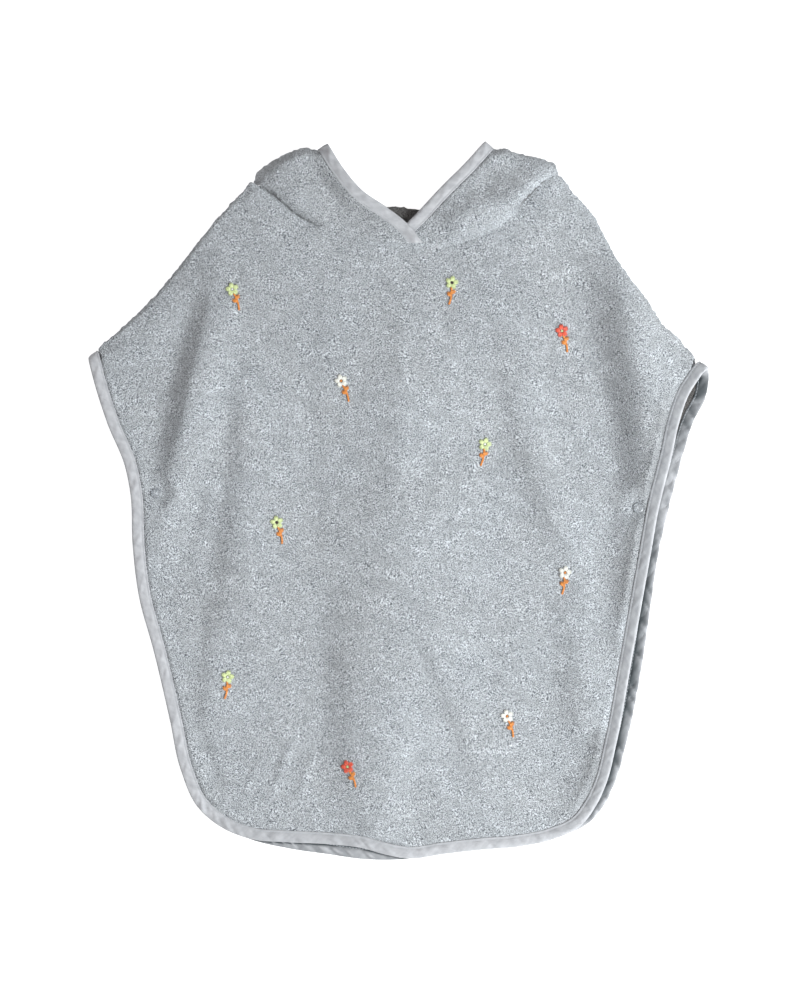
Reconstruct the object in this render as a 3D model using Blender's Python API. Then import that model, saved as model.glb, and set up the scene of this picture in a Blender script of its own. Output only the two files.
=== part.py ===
"""Child's hooded bath poncho in terry, lying flat on its back with the front side up.

Frame: +X to the wearer's left sleeve as seen from above, +Y towards the hood, +Z up, and the ground at Z = 0.
All tables and working lengths are in millimetres. The meshes are made in metres.
"""

import math

import bmesh
import bpy
import numpy as np
from mathutils import Vector
from mathutils.geometry import delaunay_2d_cdt

MM = 0.001

# Cloth and making sizes.
TERRY = 3.0
BOUND_TERRY = 1.2
TAPE = 1.0
GAP = 0.3
BINDING_WIDTH = 11.0
BINDING_HALF = 2.0
CHANNEL_HALF = BINDING_HALF - TAPE
CUT_EDGE = 1.9
PLAIN_FROM = 13.2
PANEL_CELL = 20.0
BACK_CELL = 34.0
LAYER_SLACK = 0.8
EDGE_STEP = 23.0

# The folded hood under the neck lifts the panels that lie over it.
POUCH_HEIGHT = 7.5
POUCH_LIFT = POUCH_HEIGHT + GAP
LIFT_FULL_X = 100.0
LIFT_NONE_X = 200.0
LIFT_FULL_Y = 168.0
LIFT_NONE_Y = 32.0

# Press studs: the clear plastic pairs that close each side under the sleeve.
STUDS = {"left": (-224.0, 6.0), "right": (219.0, -7.0)}
STUD_RADIUS = 5.0
STUD_POST = 1.4
STUD_HOLE = 1.8
STUD_BACK_BOTTOM = 1.5
STUD_FRONT_BOTTOM = 8.7
STUD_CLOTH = 2.2

# The bound edge, walked from the left sleeve tip round the hem to the right sleeve tip.
# x, y: the front's folded edge. back_dx, back_dy: from there to the back's edge. height: of the front's middle.
EDGE = (
    # x, y, back_dx, back_dy, height
    (-286, 126, 1.5, 0, 8.8),
    (-281, 107, 1.5, 0, 9.2),
    (-269, 70, 1.5, 0, 9.6),
    (-253, 31, 1.5, 0, 9.6),
    (-248, 6, 1.5, 0, 9.6),
    (-246, -41, 1.5, 0, 9.0),
    (-240, -90, 1.5, 0, 8.0),
    (-227, -138, 1.5, 0, 7.6),
    (-212, -202, 1.5, 0, 7.2),
    (-202, -248, 1.5, 1, 7.0),
    (-186, -283, 1.5, 1, 6.8),
    (-165, -301, 0, 1, 6.6),
    (-138, -312, 0, -1, 6.6),
    (-105, -315, 0, -6, 6.8),
    (-65, -317, 0, -10, 6.6),
    (-37, -320, 0, -11, 7.6),
    (-10, -327, 0, -5, 8.4),
    (8, -330, 0, -1, 7.6),
    (40, -326, 0, 1.5, 6.6),
    (75, -322, 0, 1.5, 6.8),
    (110, -319, 0, 1.5, 6.6),
    (142, -312, 1, 1.5, 6.8),
    (165, -301, 5, 0, 7.2),
    (180, -282, 8, 0, 7.8),
    (189, -263, 8.5, 0, 8.4),
    (199, -224, 10, 0, 9.4),
    (213, -148, 11, 0, 10.4),
    (222, -97, 9.5, 0, 10.8),
    (231, -47, 8, 0, 10.4),
    (238, -8, 10, 0, 9.9),
    (250, 41, 11, 0, 11.0),
    (257, 73, 14, 0, 12.2),
    (265, 96, 16.5, -3, 12.8),
    (277, 115, 8, -4, 12.6),
)
BACK_HEIGHT = BINDING_HALF
LOOP_STEPS = 5

# At either sleeve tip: the way the binding's loop reaches out, and the shoulder fold's way in.
LEFT_TIP_REACH = (-0.33, 1.05)
LEFT_SHOULDER_SIDE = (0.76, 0.65)
RIGHT_TIP_REACH = (0.45, 0.89)
RIGHT_SHOULDER_SIDE = (-0.79, 0.62)

# Shoulder folds, from the sleeve tip up to the neck.
LEFT_SHOULDER = (
    # x, y
    (-275, 142),
    (-241, 172),
    (-211, 205),
    (-184, 240),
    (-166, 262),
    (-137, 290),
)
RIGHT_SHOULDER = (
    # x, y
    (267, 136),
    (247, 152),
    (227, 184),
    (202, 216),
    (187, 246),
    (178, 263),
    (163, 279),
    (147, 292),
)
SHOULDER_ROLL = 8.0

# Neck seams from the left shoulder to the right one, and the back neckline under the hood.
FRONT_NECK = (
    # x, y
    (-129, 287),
    (-111, 276),
    (-96, 262),
    (-72, 249),
    (-28, 236),
    (22, 230),
    (64, 239),
    (84, 247),
    (103, 261),
    (117, 278),
    (126, 288),
    (135, 293),
)
BACK_NECK = (
    # x, y
    (-129, 287),
    (-95, 262),
    (-50, 252),
    (0, 249),
    (50, 252),
    (95, 266),
    (135, 293),
)

# Folds of the front: a ridge line through three points with its height and the width of either flank.
FOLDS = (
    # x0, y0, x1, y1, x2, y2, height, left_flank, right_flank
    (-158, 222, -188, 92, -213, -14, 6.5, 27, 55),
    (-127, 120, -138, -55, -154, -226, 3.4, 32, 60),
    (-7, 200, 2, -18, -12, -306, 6.0, 78, 125),
    (-28, -92, -29, -215, -8, -318, 2.6, 28, 42),
    (36, -74, 60, -184, 92, -290, 1.7, 17, 40),
    (104, 170, 127, 10, 158, -104, 2.4, 21, 48),
    (205, 205, 219, 108, 232, 20, 7.0, 32, 60),
    (172, -122, 164, -176, 184, -242, 3.0, 19, 30),
    (-127, -278, -110, -250, -92, -212, 1.3, 10, 14),
    (-103, -288, -90, -262, -76, -226, 1.1, 9, 12),
)

# Hood halves: where each one's top rolls over, and its face opening, both seen from above.
HOOD_LEFT_ROLL = (
    # x, y
    (-135, 292),
    (-133, 300),
    (-122, 309),
    (-108, 317),
    (-95, 323),
    (-83, 325),
    (-67, 329),
)
HOOD_RIGHT_ROLL = (
    # x, y
    (147, 300),
    (144, 308),
    (134, 313),
    (121, 316),
    (108, 319),
    (97, 324),
    (79, 331),
)
HOOD_LEFT_OPENING = (
    # x, y
    (24, 232),
    (6, 254),
    (-12, 268),
    (-35, 284),
    (-51, 303),
    (-67, 329),
)
HOOD_RIGHT_OPENING = (
    # x, y
    (-8, 236),
    (6, 254),
    (17, 265),
    (37, 286),
    (59, 308),
    (79, 331),
)
HOOD_FOLDS = (
    # x0, y0, x1, y1, x2, y2, height, left_flank, right_flank
    (126, 313, 100, 294, 70, 276, -4.5, 11, 14),
    (-86, 306, -56, 270, -24, 248, -1.6, 11, 13),
    (-122, 300, -104, 282, -86, 266, 2.2, 12, 14),
)
HOOD_PUFF = 8.0
HOOD_ROWS = (0.0, 0.1, 0.24, 0.42, 0.62, 0.82, 1.0)
# Rows of the roll: distance in from the hood's outline, share of the height there.
HOOD_ROLL_ROWS = ((9.0, 1.0), (4.4, 0.74), (1.9, 0.44), (1.7, 0.14))
HOOD_COLUMNS = 7
HOOD_SEAM_GAP = 2.6
HOOD_CROSSING = (6.0, 240.0)
HOOD_CROSSING_WIDE = 52.0
HOOD_OVERLAP_LIFT = 4.8

# The folded-under part of the hood: two layers, walked round its outline.
POUCH_OUTLINE = (
    # x, y
    (-12, 266),
    (24, 266),
    (44, 283),
    (66, 305),
    (84, 321),
    (98, 315),
    (116, 309),
    (132, 301),
    (128, 270),
    (124, 215),
    (117, 160),
    (98, 122),
    (62, 103),
    (8, 97),
    (-48, 102),
    (-90, 121),
    (-112, 158),
    (-118, 212),
    (-121, 262),
    (-124, 294),
    (-107, 306),
    (-88, 316),
    (-72, 317),
    (-57, 300),
    (-38, 279),
)
# Rim of the pouch: how far in from its outline, share of its height.
POUCH_RIM = ((1.5, 0.0), (0.0, 0.22), (1.6, 0.5), (0.2, 0.76), (2.4, 1.0))
POUCH_CELL = 34.0


def smoothstep(t):
    """Eases from 0 to 1 as t goes from 0 to 1."""
    t = np.clip(t, 0.0, 1.0)
    return t * t * (3.0 - 2.0 * t)


def spline(rows, step=None, count=None):
    """Samples a smooth curve through the rows at even steps, keeping every column of the table."""
    knots = np.array(rows, float)
    lengths = np.linalg.norm(np.diff(knots[:, :2], axis=0), axis=1)
    at = np.concatenate([[0.0], np.cumsum(lengths)])
    slopes = np.gradient(knots, at, axis=0)
    count = count or max(2, int(round(at[-1] / step)) + 1)
    result = []
    for s in np.linspace(0.0, at[-1], count):
        i = min(int(np.searchsorted(at, s, side="right")) - 1, len(at) - 2)
        span = at[i + 1] - at[i]
        t = (s - at[i]) / span
        result.append(
            (2 * t**3 - 3 * t**2 + 1) * knots[i]
            + (t**3 - 2 * t**2 + t) * span * slopes[i]
            + (3 * t**2 - 2 * t**3) * knots[i + 1]
            + (t**3 - t**2) * span * slopes[i + 1]
        )
    return np.array(result)


def inward(line):
    """Unit normals in plan on the left of an open line."""
    along = np.gradient(line[:, :2], axis=0)
    along /= np.linalg.norm(along, axis=1)[:, None]
    return np.stack([-along[:, 1], along[:, 0]], axis=1)


def distance_to(points, line):
    """Distance in plan from each point to an open line, and the nearest place along it as a row index."""
    start = line[:-1, :2]
    span = line[1:, :2] - start
    offset = points[:, None, :] - start[None]
    share = np.clip((offset * span).sum(2) / (span**2).sum(1), 0.0, 1.0)
    gaps = np.linalg.norm(offset - share[..., None] * span, axis=2)
    nearest = gaps.argmin(1)
    rows = np.arange(len(points))
    return gaps[rows, nearest], nearest + share[rows, nearest]


def along_line(values, place):
    """Reads a column of values at places given as row indices."""
    return np.interp(place, np.arange(len(values)), values)


def fold_height(points, folds):
    """Sum of the folds' heights at points in plan."""
    total = np.zeros(len(points))
    for x0, y0, x1, y1, x2, y2, height, left_flank, right_flank in folds:
        ridge = spline(((x0, y0), (x1, y1), (x2, y2)), count=17)
        gap, place = distance_to(points, ridge)
        step = np.minimum(place.astype(int), len(ridge) - 2)
        span = ridge[step + 1] - ridge[step]
        off = points - ridge[step]
        to_left = span[:, 0] * off[:, 1] - span[:, 1] * off[:, 0] < 0
        if y0 < y2:
            to_left = ~to_left
        across = gap / np.where(to_left, left_flank, right_flank)
        ends = smoothstep(place / 4.0) * smoothstep((16 - place) / 4.0)
        total += height * 0.5 * (1.0 + np.cos(np.pi * np.clip(across, 0.0, 1.0))) * ends
    return total


def pouch_lift(points):
    """How far the folded hood raises the underside of the back at points in plan."""
    over_x = smoothstep((LIFT_NONE_X - np.abs(points[:, 0])) / (LIFT_NONE_X - LIFT_FULL_X))
    over_y = smoothstep((points[:, 1] - LIFT_NONE_Y) / (LIFT_FULL_Y - LIFT_NONE_Y))
    return POUCH_LIFT * over_x * over_y


def near_studs(points):
    """Distance from each point to the nearest press stud."""
    return np.min([np.linalg.norm(points - np.array(at), axis=1) for at in STUDS.values()], axis=0)


EDGE_LINE = spline(EDGE, step=EDGE_STEP)
FRONT_EDGE = EDGE_LINE[:, [0, 1, 4]]
BACK_EDGE = np.column_stack([EDGE_LINE[:, :2] + EDGE_LINE[:, 2:4], np.full(len(EDGE_LINE), BACK_HEIGHT)])
SHOULDERS = {"left": spline(LEFT_SHOULDER, step=EDGE_STEP), "right": spline(RIGHT_SHOULDER, step=EDGE_STEP)}


def back_levels(points, edge_gap, shoulder_gap):
    """Heights of the back panel's underside and top side."""
    low = pouch_lift(points)
    low += STUD_BACK_BOTTOM * smoothstep((16.0 - near_studs(points)) / 8.0)
    high = low + TERRY
    bound = smoothstep((PLAIN_FROM - edge_gap) / (PLAIN_FROM - BINDING_WIDTH - 0.4))
    middle = low + TERRY / 2 + bound * (BACK_HEIGHT - TERRY / 2)
    half = TERRY / 2 - bound * (TERRY - BOUND_TERRY) / 2
    low = np.where(bound > 0, middle - half, low)
    high = np.where(bound > 0, middle + half, high)
    share = np.clip(shoulder_gap / TERRY, 0.0, 1.0)
    rolled = np.sqrt(1.0 - (1.0 - share) ** 2)
    low = high - (high - low) * np.maximum(rolled, 0.2)
    return low, high


def front_middle(points, edge_gap, place):
    """Height of the front panel's middle layer, before its edges are shaped."""
    height = pouch_lift(points) + TERRY * 1.5 + GAP + LAYER_SLACK + fold_height(points, FOLDS)
    edge = along_line(FRONT_EDGE[:, 2], place)
    to_edge = smoothstep((46.0 - edge_gap) / (46.0 - PLAIN_FROM))
    height += (edge - height) * to_edge
    stud_middle = STUD_FRONT_BOTTOM + STUD_CLOTH / 2
    stud = smoothstep((22.0 - near_studs(points)) / 13.0)
    return height + (stud_middle - height) * stud


def front_levels(points, edge_gap, place, shoulder_gap):
    """Heights of the front panel's underside and top side."""
    middle = front_middle(points, edge_gap, place)
    floor = pouch_lift(points) + TERRY + GAP + LAYER_SLACK * smoothstep(shoulder_gap / 16.0)
    bound = smoothstep((PLAIN_FROM - edge_gap) / (PLAIN_FROM - BINDING_WIDTH - 0.4))
    stud = smoothstep((11.0 - near_studs(points)) / 4.0)
    thick = TERRY - bound * (TERRY - BOUND_TERRY) - stud * (TERRY - STUD_CLOTH)
    high = middle + thick / 2
    low = np.maximum(middle - thick / 2, floor)
    rise = high - floor
    radius = np.clip(rise, TERRY + 0.2, SHOULDER_ROLL)
    share = np.clip(shoulder_gap / radius, 0.0, 1.0)
    rolled_high = floor + rise * np.maximum(np.sqrt(1.0 - (1.0 - share) ** 2), 0.2)
    inner = np.clip((shoulder_gap - TERRY) / np.maximum(radius - TERRY, 0.2), 0.0, 1.0)
    rolled_low = floor + (low - floor) * np.sqrt(1.0 - (1.0 - inner) ** 2)
    return rolled_low, rolled_high


def hex_points(outline, cell, clear):
    """Evenly staggered points inside an outline that keep a distance from it."""
    low = outline.min(0)
    high = outline.max(0)
    rows = np.arange(low[1], high[1], cell * math.sqrt(3) / 2)
    points = []
    for number, y in enumerate(rows):
        for x in np.arange(low[0] + (number % 2) * cell / 2, high[0], cell):
            points.append((x, y))
    points = np.array(points)
    closed = np.vstack([outline, outline[:1]])
    gap, _ = distance_to(points, closed)
    return points[inside(points, outline) & (gap > clear)]


def inside(points, outline):
    """Whether each point lies inside a closed outline."""
    x0, y0 = outline[:, 0], outline[:, 1]
    x1, y1 = np.roll(x0, -1), np.roll(y0, -1)
    px, py = points[:, :1], points[:, 1:]
    crosses = (y0 > py) != (y1 > py)
    rise = np.where(y1 == y0, 1e-9, y1 - y0)
    return (crosses & (px < (x1 - x0) * (py - y0) / rise + x0)).sum(1) % 2 == 1


def triangulate(outline, rings, loose, holes=()):
    """Fills an outline with triangles that use the rings' edges and the loose points, and leaves the holes open."""
    points = list(map(tuple, outline))
    edges = []
    for ring in list(rings) + [np.vstack([hole, hole[:1]]) for hole in holes]:
        first = len(points)
        points += list(map(tuple, ring))
        edges += [(first + i, first + i + 1) for i in range(len(ring) - 1)]
    points += list(map(tuple, loose))
    face = list(range(len(outline)))
    found = delaunay_2d_cdt([Vector(p) for p in points], edges, [face], 1, 1e-4)
    flat = np.array([(v.x, v.y) for v in found[0]])
    faces = [f for f in found[2] if len(f) == 3]
    middles = np.array([flat[f].mean(0) for f in faces])
    keep = inside(middles, outline)
    for hole in holes:
        keep &= ~inside(middles, hole)
    return flat, [f for f, kept in zip(faces, keep) if kept]


def finish_mesh(name, bm, color, roughness):
    """Makes the object of a closed mesh in millimetres, with its own material."""
    bmesh.ops.remove_doubles(bm, verts=bm.verts, dist=1e-3)
    bmesh.ops.recalc_face_normals(bm, faces=bm.faces)
    bmesh.ops.scale(bm, vec=(MM, MM, MM), verts=bm.verts)
    mesh = bpy.data.meshes.new(name)
    bm.to_mesh(mesh)
    bm.free()
    mesh.shade_smooth()
    mesh.set_sharp_from_angle(angle=math.radians(40))
    obj = bpy.data.objects.new(name, mesh)
    bpy.context.scene.collection.objects.link(obj)
    material = bpy.data.materials.new(name)
    material.use_nodes = True
    shader = material.node_tree.nodes["Principled BSDF"]
    shader.inputs["Base Color"].default_value = (*color, 1.0)
    shader.inputs["Roughness"].default_value = roughness
    shader.inputs["Metallic"].default_value = 0.0
    mesh.materials.append(material)
    return obj


def panel_solid(name, flat, faces, low, high, color):
    """Closes a filled outline between two heights at each of its points."""
    used = sorted({i for f in faces for i in f})
    bm = bmesh.new()
    tops = {i: bm.verts.new((*flat[i], high[i])) for i in used}
    for face in faces:
        bm.faces.new([tops[i] for i in face])
    made = bmesh.ops.extrude_face_region(bm, geom=bm.faces[:])
    lower = {(round(flat[i][0], 4), round(flat[i][1], 4)): low[i] for i in used}
    for vert in made["geom"]:
        if isinstance(vert, bmesh.types.BMVert):
            vert.co.z = lower[(round(vert.co.x, 4), round(vert.co.y, 4))]
    return finish_mesh(name, bm, color, 0.95)


def tip_notch(edge, normals, at_end):
    """The two corners where a panel steps in to let the binding turn over the sleeve tip."""
    row = -1 if at_end else 0
    return edge[row, :2] + normals[row] * (BINDING_WIDTH + 0.8)


def panel_outline(edge, neck):
    """Closed outline of a panel: bound edge, right shoulder, neck and left shoulder."""
    normals = inward(edge)
    bound = edge[:, :2] + normals * CUT_EDGE
    right_notch = tip_notch(edge, normals, True)
    left_notch = tip_notch(edge, normals, False)
    neck_line = spline(neck, step=14.0)[::-1]
    return np.vstack(
        [bound, right_notch, SHOULDERS["right"], neck_line, SHOULDERS["left"][::-1], left_notch]
    )


def shoulder_rings(depths):
    """Lines beside both shoulder folds at the given distances in."""
    rings = []
    for side, line in SHOULDERS.items():
        turn = 1.0 if side == "right" else -1.0
        normals = inward(line) * turn
        for depth in depths:
            ring = line + normals * depth
            rings.append(ring[1:-1])
    return rings


def stud_rings(radii):
    """Circles of points round both press studs."""
    rings = []
    for x, y in STUDS.values():
        for radius in radii:
            turns = np.linspace(0.0, 2 * math.pi, 9)[:-1]
            rings.append(np.column_stack([x + radius * np.cos(turns), y + radius * np.sin(turns)]))
    return rings


def make_panel(name, edge, neck, cell, levels, color):
    """One body panel with its thin bound edge, rolled shoulders and stud holes."""
    outline = panel_outline(edge, neck)
    normals = inward(edge)
    rings = [edge[:, :2] + normals * depth for depth in (BINDING_WIDTH + 0.4, PLAIN_FROM)]
    shoulder = shoulder_rings((1.0, 3.2, 8.0))
    pads = stud_rings((4.6, 8.0))
    loose = hex_points(outline, cell, 0.55 * cell)
    edge_gap, _ = distance_to(loose, edge)
    loose = loose[(edge_gap > PLAIN_FROM + 0.45 * cell) & (near_studs(loose) > 12.0)]
    loose = np.vstack([loose, *shoulder, *pads])
    holes = stud_rings((STUD_HOLE,))
    loose = loose[inside(loose, outline)]
    flat, faces = triangulate(outline, rings, loose, holes)
    edge_gap, place = distance_to(flat, edge)
    gaps = [distance_to(flat, line)[0] for line in SHOULDERS.values()]
    low, high = levels(flat, edge_gap, place, np.minimum(*gaps))
    return panel_solid(name, flat, faces, low, high, color)


def binding_profile():
    """Section of a folded tape: distance in from its folded edge, height from its middle."""
    return (
        (BINDING_WIDTH, BINDING_HALF),
        (5.5, BINDING_HALF),
        (1.2, 1.5),
        (0.0, 0.0),
        (1.2, -1.5),
        (5.5, -BINDING_HALF),
        (BINDING_WIDTH, -BINDING_HALF),
        (BINDING_WIDTH, -CHANNEL_HALF),
        (1.5, -CHANNEL_HALF),
        (1.5, CHANNEL_HALF),
        (BINDING_WIDTH, CHANNEL_HALF),
    )


def sweep(name, places, sides, normals, color, closed):
    """Carries the tape's section along places, with its inner side and its outer face given at each."""
    bm = bmesh.new()
    rings = []
    for place, side, normal in zip(places, sides, normals):
        ring = [bm.verts.new(place + side * d + normal * h) for d, h in binding_profile()]
        rings.append(ring)
    count = len(rings[0])
    pairs = list(zip(rings, rings[1:]))
    if closed:
        pairs.append((rings[-1], rings[0]))
    for one, two in pairs:
        for i in range(count):
            j = (i + 1) % count
            bm.faces.new((one[i], one[j], two[j], two[i]))
    if not closed:
        bm.faces.new(rings[0])
        bm.faces.new(rings[-1][::-1])
    return finish_mesh(name, bm, color, 0.8)


def tip_loop(start, end, reach, start_side, end_side, shoulder_side):
    """Places and sides where the binding turns over a sleeve tip from one panel to the other."""
    radius = abs(start[2] - end[2]) / 2
    middle = (start[2] + end[2]) / 2
    down = 1.0 if start[2] > end[2] else -1.0
    places = []
    sides = []
    for number in range(1, LOOP_STEPS + 1):
        share = number / (LOOP_STEPS + 1)
        turn = math.pi * share
        plan = start[:2] * (1 - share) + end[:2] * share + reach * radius * math.sin(turn)
        places.append((*plan, middle + down * radius * math.cos(turn)))
        turned_in = math.sin(turn) ** 2
        side = start_side * (1 - share) + end_side * share
        sides.append((*(side * (1 - turned_in) + shoulder_side * turned_in), 0.0))
    return np.array(places), np.array(sides)


def make_body_binding():
    """The one bias strip that goes round the whole edge, over both sleeve tips."""
    front_sides = np.column_stack([inward(FRONT_EDGE), np.zeros(len(FRONT_EDGE))])
    back_sides = np.column_stack([inward(BACK_EDGE), np.zeros(len(BACK_EDGE))])
    front_run = FRONT_EDGE
    back_run = BACK_EDGE[::-1]
    back_sides = back_sides[::-1]
    right, right_sides = tip_loop(
        front_run[-1],
        back_run[0],
        np.array(RIGHT_TIP_REACH),
        front_sides[-1, :2],
        back_sides[0, :2],
        np.array(RIGHT_SHOULDER_SIDE),
    )
    left, left_sides = tip_loop(
        back_run[-1],
        front_run[0],
        np.array(LEFT_TIP_REACH),
        back_sides[-1, :2],
        front_sides[0, :2],
        np.array(LEFT_SHOULDER_SIDE),
    )
    places = np.vstack([front_run, right, back_run, left])
    sides = np.vstack([front_sides, right_sides, back_sides, left_sides])
    along = np.roll(places, -1, axis=0) - np.roll(places, 1, axis=0)
    along /= np.linalg.norm(along, axis=1)[:, None]
    sides /= np.linalg.norm(sides, axis=1)[:, None]
    normals = np.cross(along, sides)
    normals /= np.linalg.norm(normals, axis=1)[:, None]
    flat_front = np.arange(len(places)) < len(front_run)
    flat_back = np.zeros(len(places), bool)
    flat_back[len(front_run) + LOOP_STEPS : len(front_run) + LOOP_STEPS + len(back_run)] = True
    normals[flat_front] = (0.0, 0.0, 1.0)
    normals[flat_back] = (0.0, 0.0, -1.0)
    return sweep("body_binding", places, sides, normals, (0.52, 0.55, 0.58), True)


def offset_line(line, depth, turn):
    """A line beside another one in plan, on the side that turn names."""
    return line[:, :2] + inward(line) * turn * depth


def trimmed(line, below):
    """The part of a line that lies above another one, resampled to as many places."""
    gap, place = distance_to(line, below)
    foot = np.column_stack([along_line(below[:, 0], place), along_line(below[:, 1], place)])
    above = (line[:, 1] >= foot[:, 1]) & (gap > 0.2)
    first = int(np.argmax(above))
    return spline(line[first:], count=len(line))


def hood_plan(neck_rows, roll_rows, opening_rows, turn):
    """Columns of places in plan for one hood half, from the shoulder to the opening.

    Each place is x, y, its share of the way up, its level in the roll and its column's share of the way across.
    """
    neck = offset_line(spline(neck_rows, step=4.0), HOOD_SEAM_GAP, turn)
    opening = trimmed(spline(opening_rows, count=60), neck)
    plain = trimmed(offset_line(opening, PLAIN_FROM, turn), neck)
    roll = spline(roll_rows, count=60)
    _, start_at = distance_to(plain[:1], neck)
    _, end_at = distance_to(plain[-1:], roll)
    columns = []
    for number in range(HOOD_COLUMNS):
        share = number / HOOD_COLUMNS
        start = np.array([along_line(neck[:, i], start_at[0] * share) for i in (0, 1)])
        end = np.array([along_line(roll[:, i], end_at[0] * share) for i in (0, 1)])
        columns.append(hood_column(start, end, plain, share))
    columns.append(hood_column(plain[0], plain[-1], plain, 1.0))
    columns.append(hood_column(opening[0], opening[-1], opening, 1.0))
    return np.array(columns)


def hood_column(start, end, side, share):
    """Places up one column, bowed as far as the side line is."""
    length = np.linalg.norm(end - start)
    fit = min(1.0, length / 34.0)
    result = []
    for row in HOOD_ROWS:
        place = row * (1.0 - HOOD_ROLL_ROWS[0][0] * fit / length)
        result.append((place, 1.0))
    for back_in, level in HOOD_ROLL_ROWS[1:]:
        result.append((1.0 - back_in * fit / length, level))
    column = []
    for place, level in result:
        here = np.array([along_line(side[:, i], place * (len(side) - 1)) for i in (0, 1)])
        bow = here - (side[0] * (1 - place) + side[-1] * place)
        plan = start * (1 - place) + end * place + bow * share**2
        column.append((*plan, place, level, share))
    return column


def hood_heights(grid, on_top):
    """Gives every place of a hood half its height."""
    flat = grid[:, :, :2].reshape(-1, 2)
    place = grid[:, :, 2].reshape(-1)
    level = grid[:, :, 3].reshape(-1)
    share = grid[:, :, 4].reshape(-1)
    seam = pouch_lift(flat) + TERRY * 1.5 + 3 * GAP + 0.5
    fullness = np.sin(np.pi * np.clip(place, 0.0, 1.0) ** 0.85) ** 0.8
    crossing = smoothstep((HOOD_CROSSING_WIDE - np.linalg.norm(flat - HOOD_CROSSING, axis=1)) / 30.0)
    puff = HOOD_PUFF * fullness * smoothstep((share + 0.12) / 0.4)
    puff += fold_height(flat, HOOD_FOLDS) * smoothstep(share / 0.2)
    height = seam + puff * (1.0 - crossing)
    if on_top:
        height += HOOD_OVERLAP_LIFT * crossing
    height = 1.2 + (height - 1.2) * level
    return np.column_stack([flat, height]).reshape(*grid.shape[:2], 3)


def bound_columns(middles):
    """Adds the columns that lie inside the tape, straight from the opening's edge."""
    edge = middles[-1]
    side = middles[-2] - edge
    side[1:-1] = (side[:-2] + 2 * side[1:-1] + side[2:]) / 4
    side /= np.linalg.norm(side, axis=1)[:, None]
    thin = [edge + side * depth for depth in (BINDING_WIDTH + 0.4, CUT_EDGE)]
    return np.concatenate([middles[:-2], (edge + side * PLAIN_FROM)[None], np.array(thin)]), edge, side


def grid_normals(middles):
    """Unit normals of a grid of places, facing up."""
    across = np.gradient(middles, axis=0)
    along = np.gradient(middles, axis=1)
    normals = np.cross(across, along)
    normals /= np.linalg.norm(normals, axis=2)[..., None]
    up = np.sign(normals[:, :3, 2].mean())
    return normals * up


def grid_solid(name, middles, normals, halves, color):
    """Closes a grid of places into a cloth of the given half thickness in each column."""
    bm = bmesh.new()
    high = middles + normals * halves[:, None, None]
    low = middles - normals * halves[:, None, None]
    sheets = []
    for sheet in (high, low):
        sheets.append([[bm.verts.new(place) for place in column] for column in sheet])
    wide, long = middles.shape[:2]
    for sheet in sheets:
        for i in range(wide - 1):
            for j in range(long - 1):
                bm.faces.new((sheet[i][j], sheet[i + 1][j], sheet[i + 1][j + 1], sheet[i][j + 1]))
    rim = [(i, 0) for i in range(wide)] + [(wide - 1, j) for j in range(1, long)]
    rim += [(i, long - 1) for i in range(wide - 2, -1, -1)] + [(0, j) for j in range(long - 2, 0, -1)]
    for (i, j), (k, m) in zip(rim, rim[1:] + rim[:1]):
        bm.faces.new((sheets[0][i][j], sheets[0][k][m], sheets[1][k][m], sheets[1][i][j]))
    return finish_mesh(name, bm, color, 0.95)


def make_hood_half(side):
    """One half of the hood's front and the tape on its opening."""
    left = side == "left"
    turn = 1.0 if left else -1.0
    low, high = (-112, 30) if left else (-30, 130)
    neck = [row for row in FRONT_NECK if low <= row[0] <= high]
    neck = neck if left else neck[::-1]
    roll = HOOD_LEFT_ROLL if left else HOOD_RIGHT_ROLL
    opening = HOOD_LEFT_OPENING if left else HOOD_RIGHT_OPENING
    grid = hood_plan(neck, roll, opening, turn)
    middles, edge, sides = bound_columns(hood_heights(grid, left))
    normals = grid_normals(middles)
    along = np.gradient(edge, axis=0)
    along /= np.linalg.norm(along, axis=1)[:, None]
    outer = np.cross(along, sides)
    outer /= np.linalg.norm(outer, axis=1)[:, None]
    outer *= np.sign(outer[:3, 2].mean())
    normals[-3:] = outer
    halves = np.full(len(middles), TERRY / 2)
    halves[-2:] = BOUND_TERRY / 2
    halves[0] = BOUND_TERRY / 2
    grid_solid(f"hood_{side}", middles, normals, halves, (0.46, 0.49, 0.53))
    sweep(f"hood_binding_{side}", edge, sides, outer, (0.56, 0.59, 0.62), False)


def make_hood_fold():
    """The rest of the hood, folded under the back: two layers seen at its rim."""
    closed = np.vstack([POUCH_OUTLINE, POUCH_OUTLINE[:1]])
    outline = spline(closed, step=18.0)[:-1]
    wrapped = np.vstack([outline[-1:], outline, outline[:1]])
    normals = -inward(wrapped)[1:-1]
    top_in = POUCH_RIM[-1][0]
    inner = outline + normals * top_in
    loose = hex_points(inner, POUCH_CELL, 0.6 * POUCH_CELL)
    flat, faces = triangulate(inner, [], loose)
    bm = bmesh.new()
    tops = pouch_lift(flat) - GAP - LAYER_SLACK
    rim_height = pouch_lift(inner) - GAP - LAYER_SLACK
    high = [bm.verts.new((*p, z)) for p, z in zip(flat, tops)]
    for face in faces:
        bm.faces.new([high[i] for i in face])
    rings = []
    for depth, share in POUCH_RIM:
        ring = outline + normals * depth
        rings.append([bm.verts.new((*p, z * share)) for p, z in zip(ring, rim_height)])
    count = len(outline)
    for one, two in zip(rings, rings[1:]):
        for i in range(count):
            j = (i + 1) % count
            bm.faces.new((one[i], one[j], two[j], two[i]))
    bm.faces.new(rings[0])
    return finish_mesh("hood_fold", bm, (0.10, 0.09, 0.08), 0.98)


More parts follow.
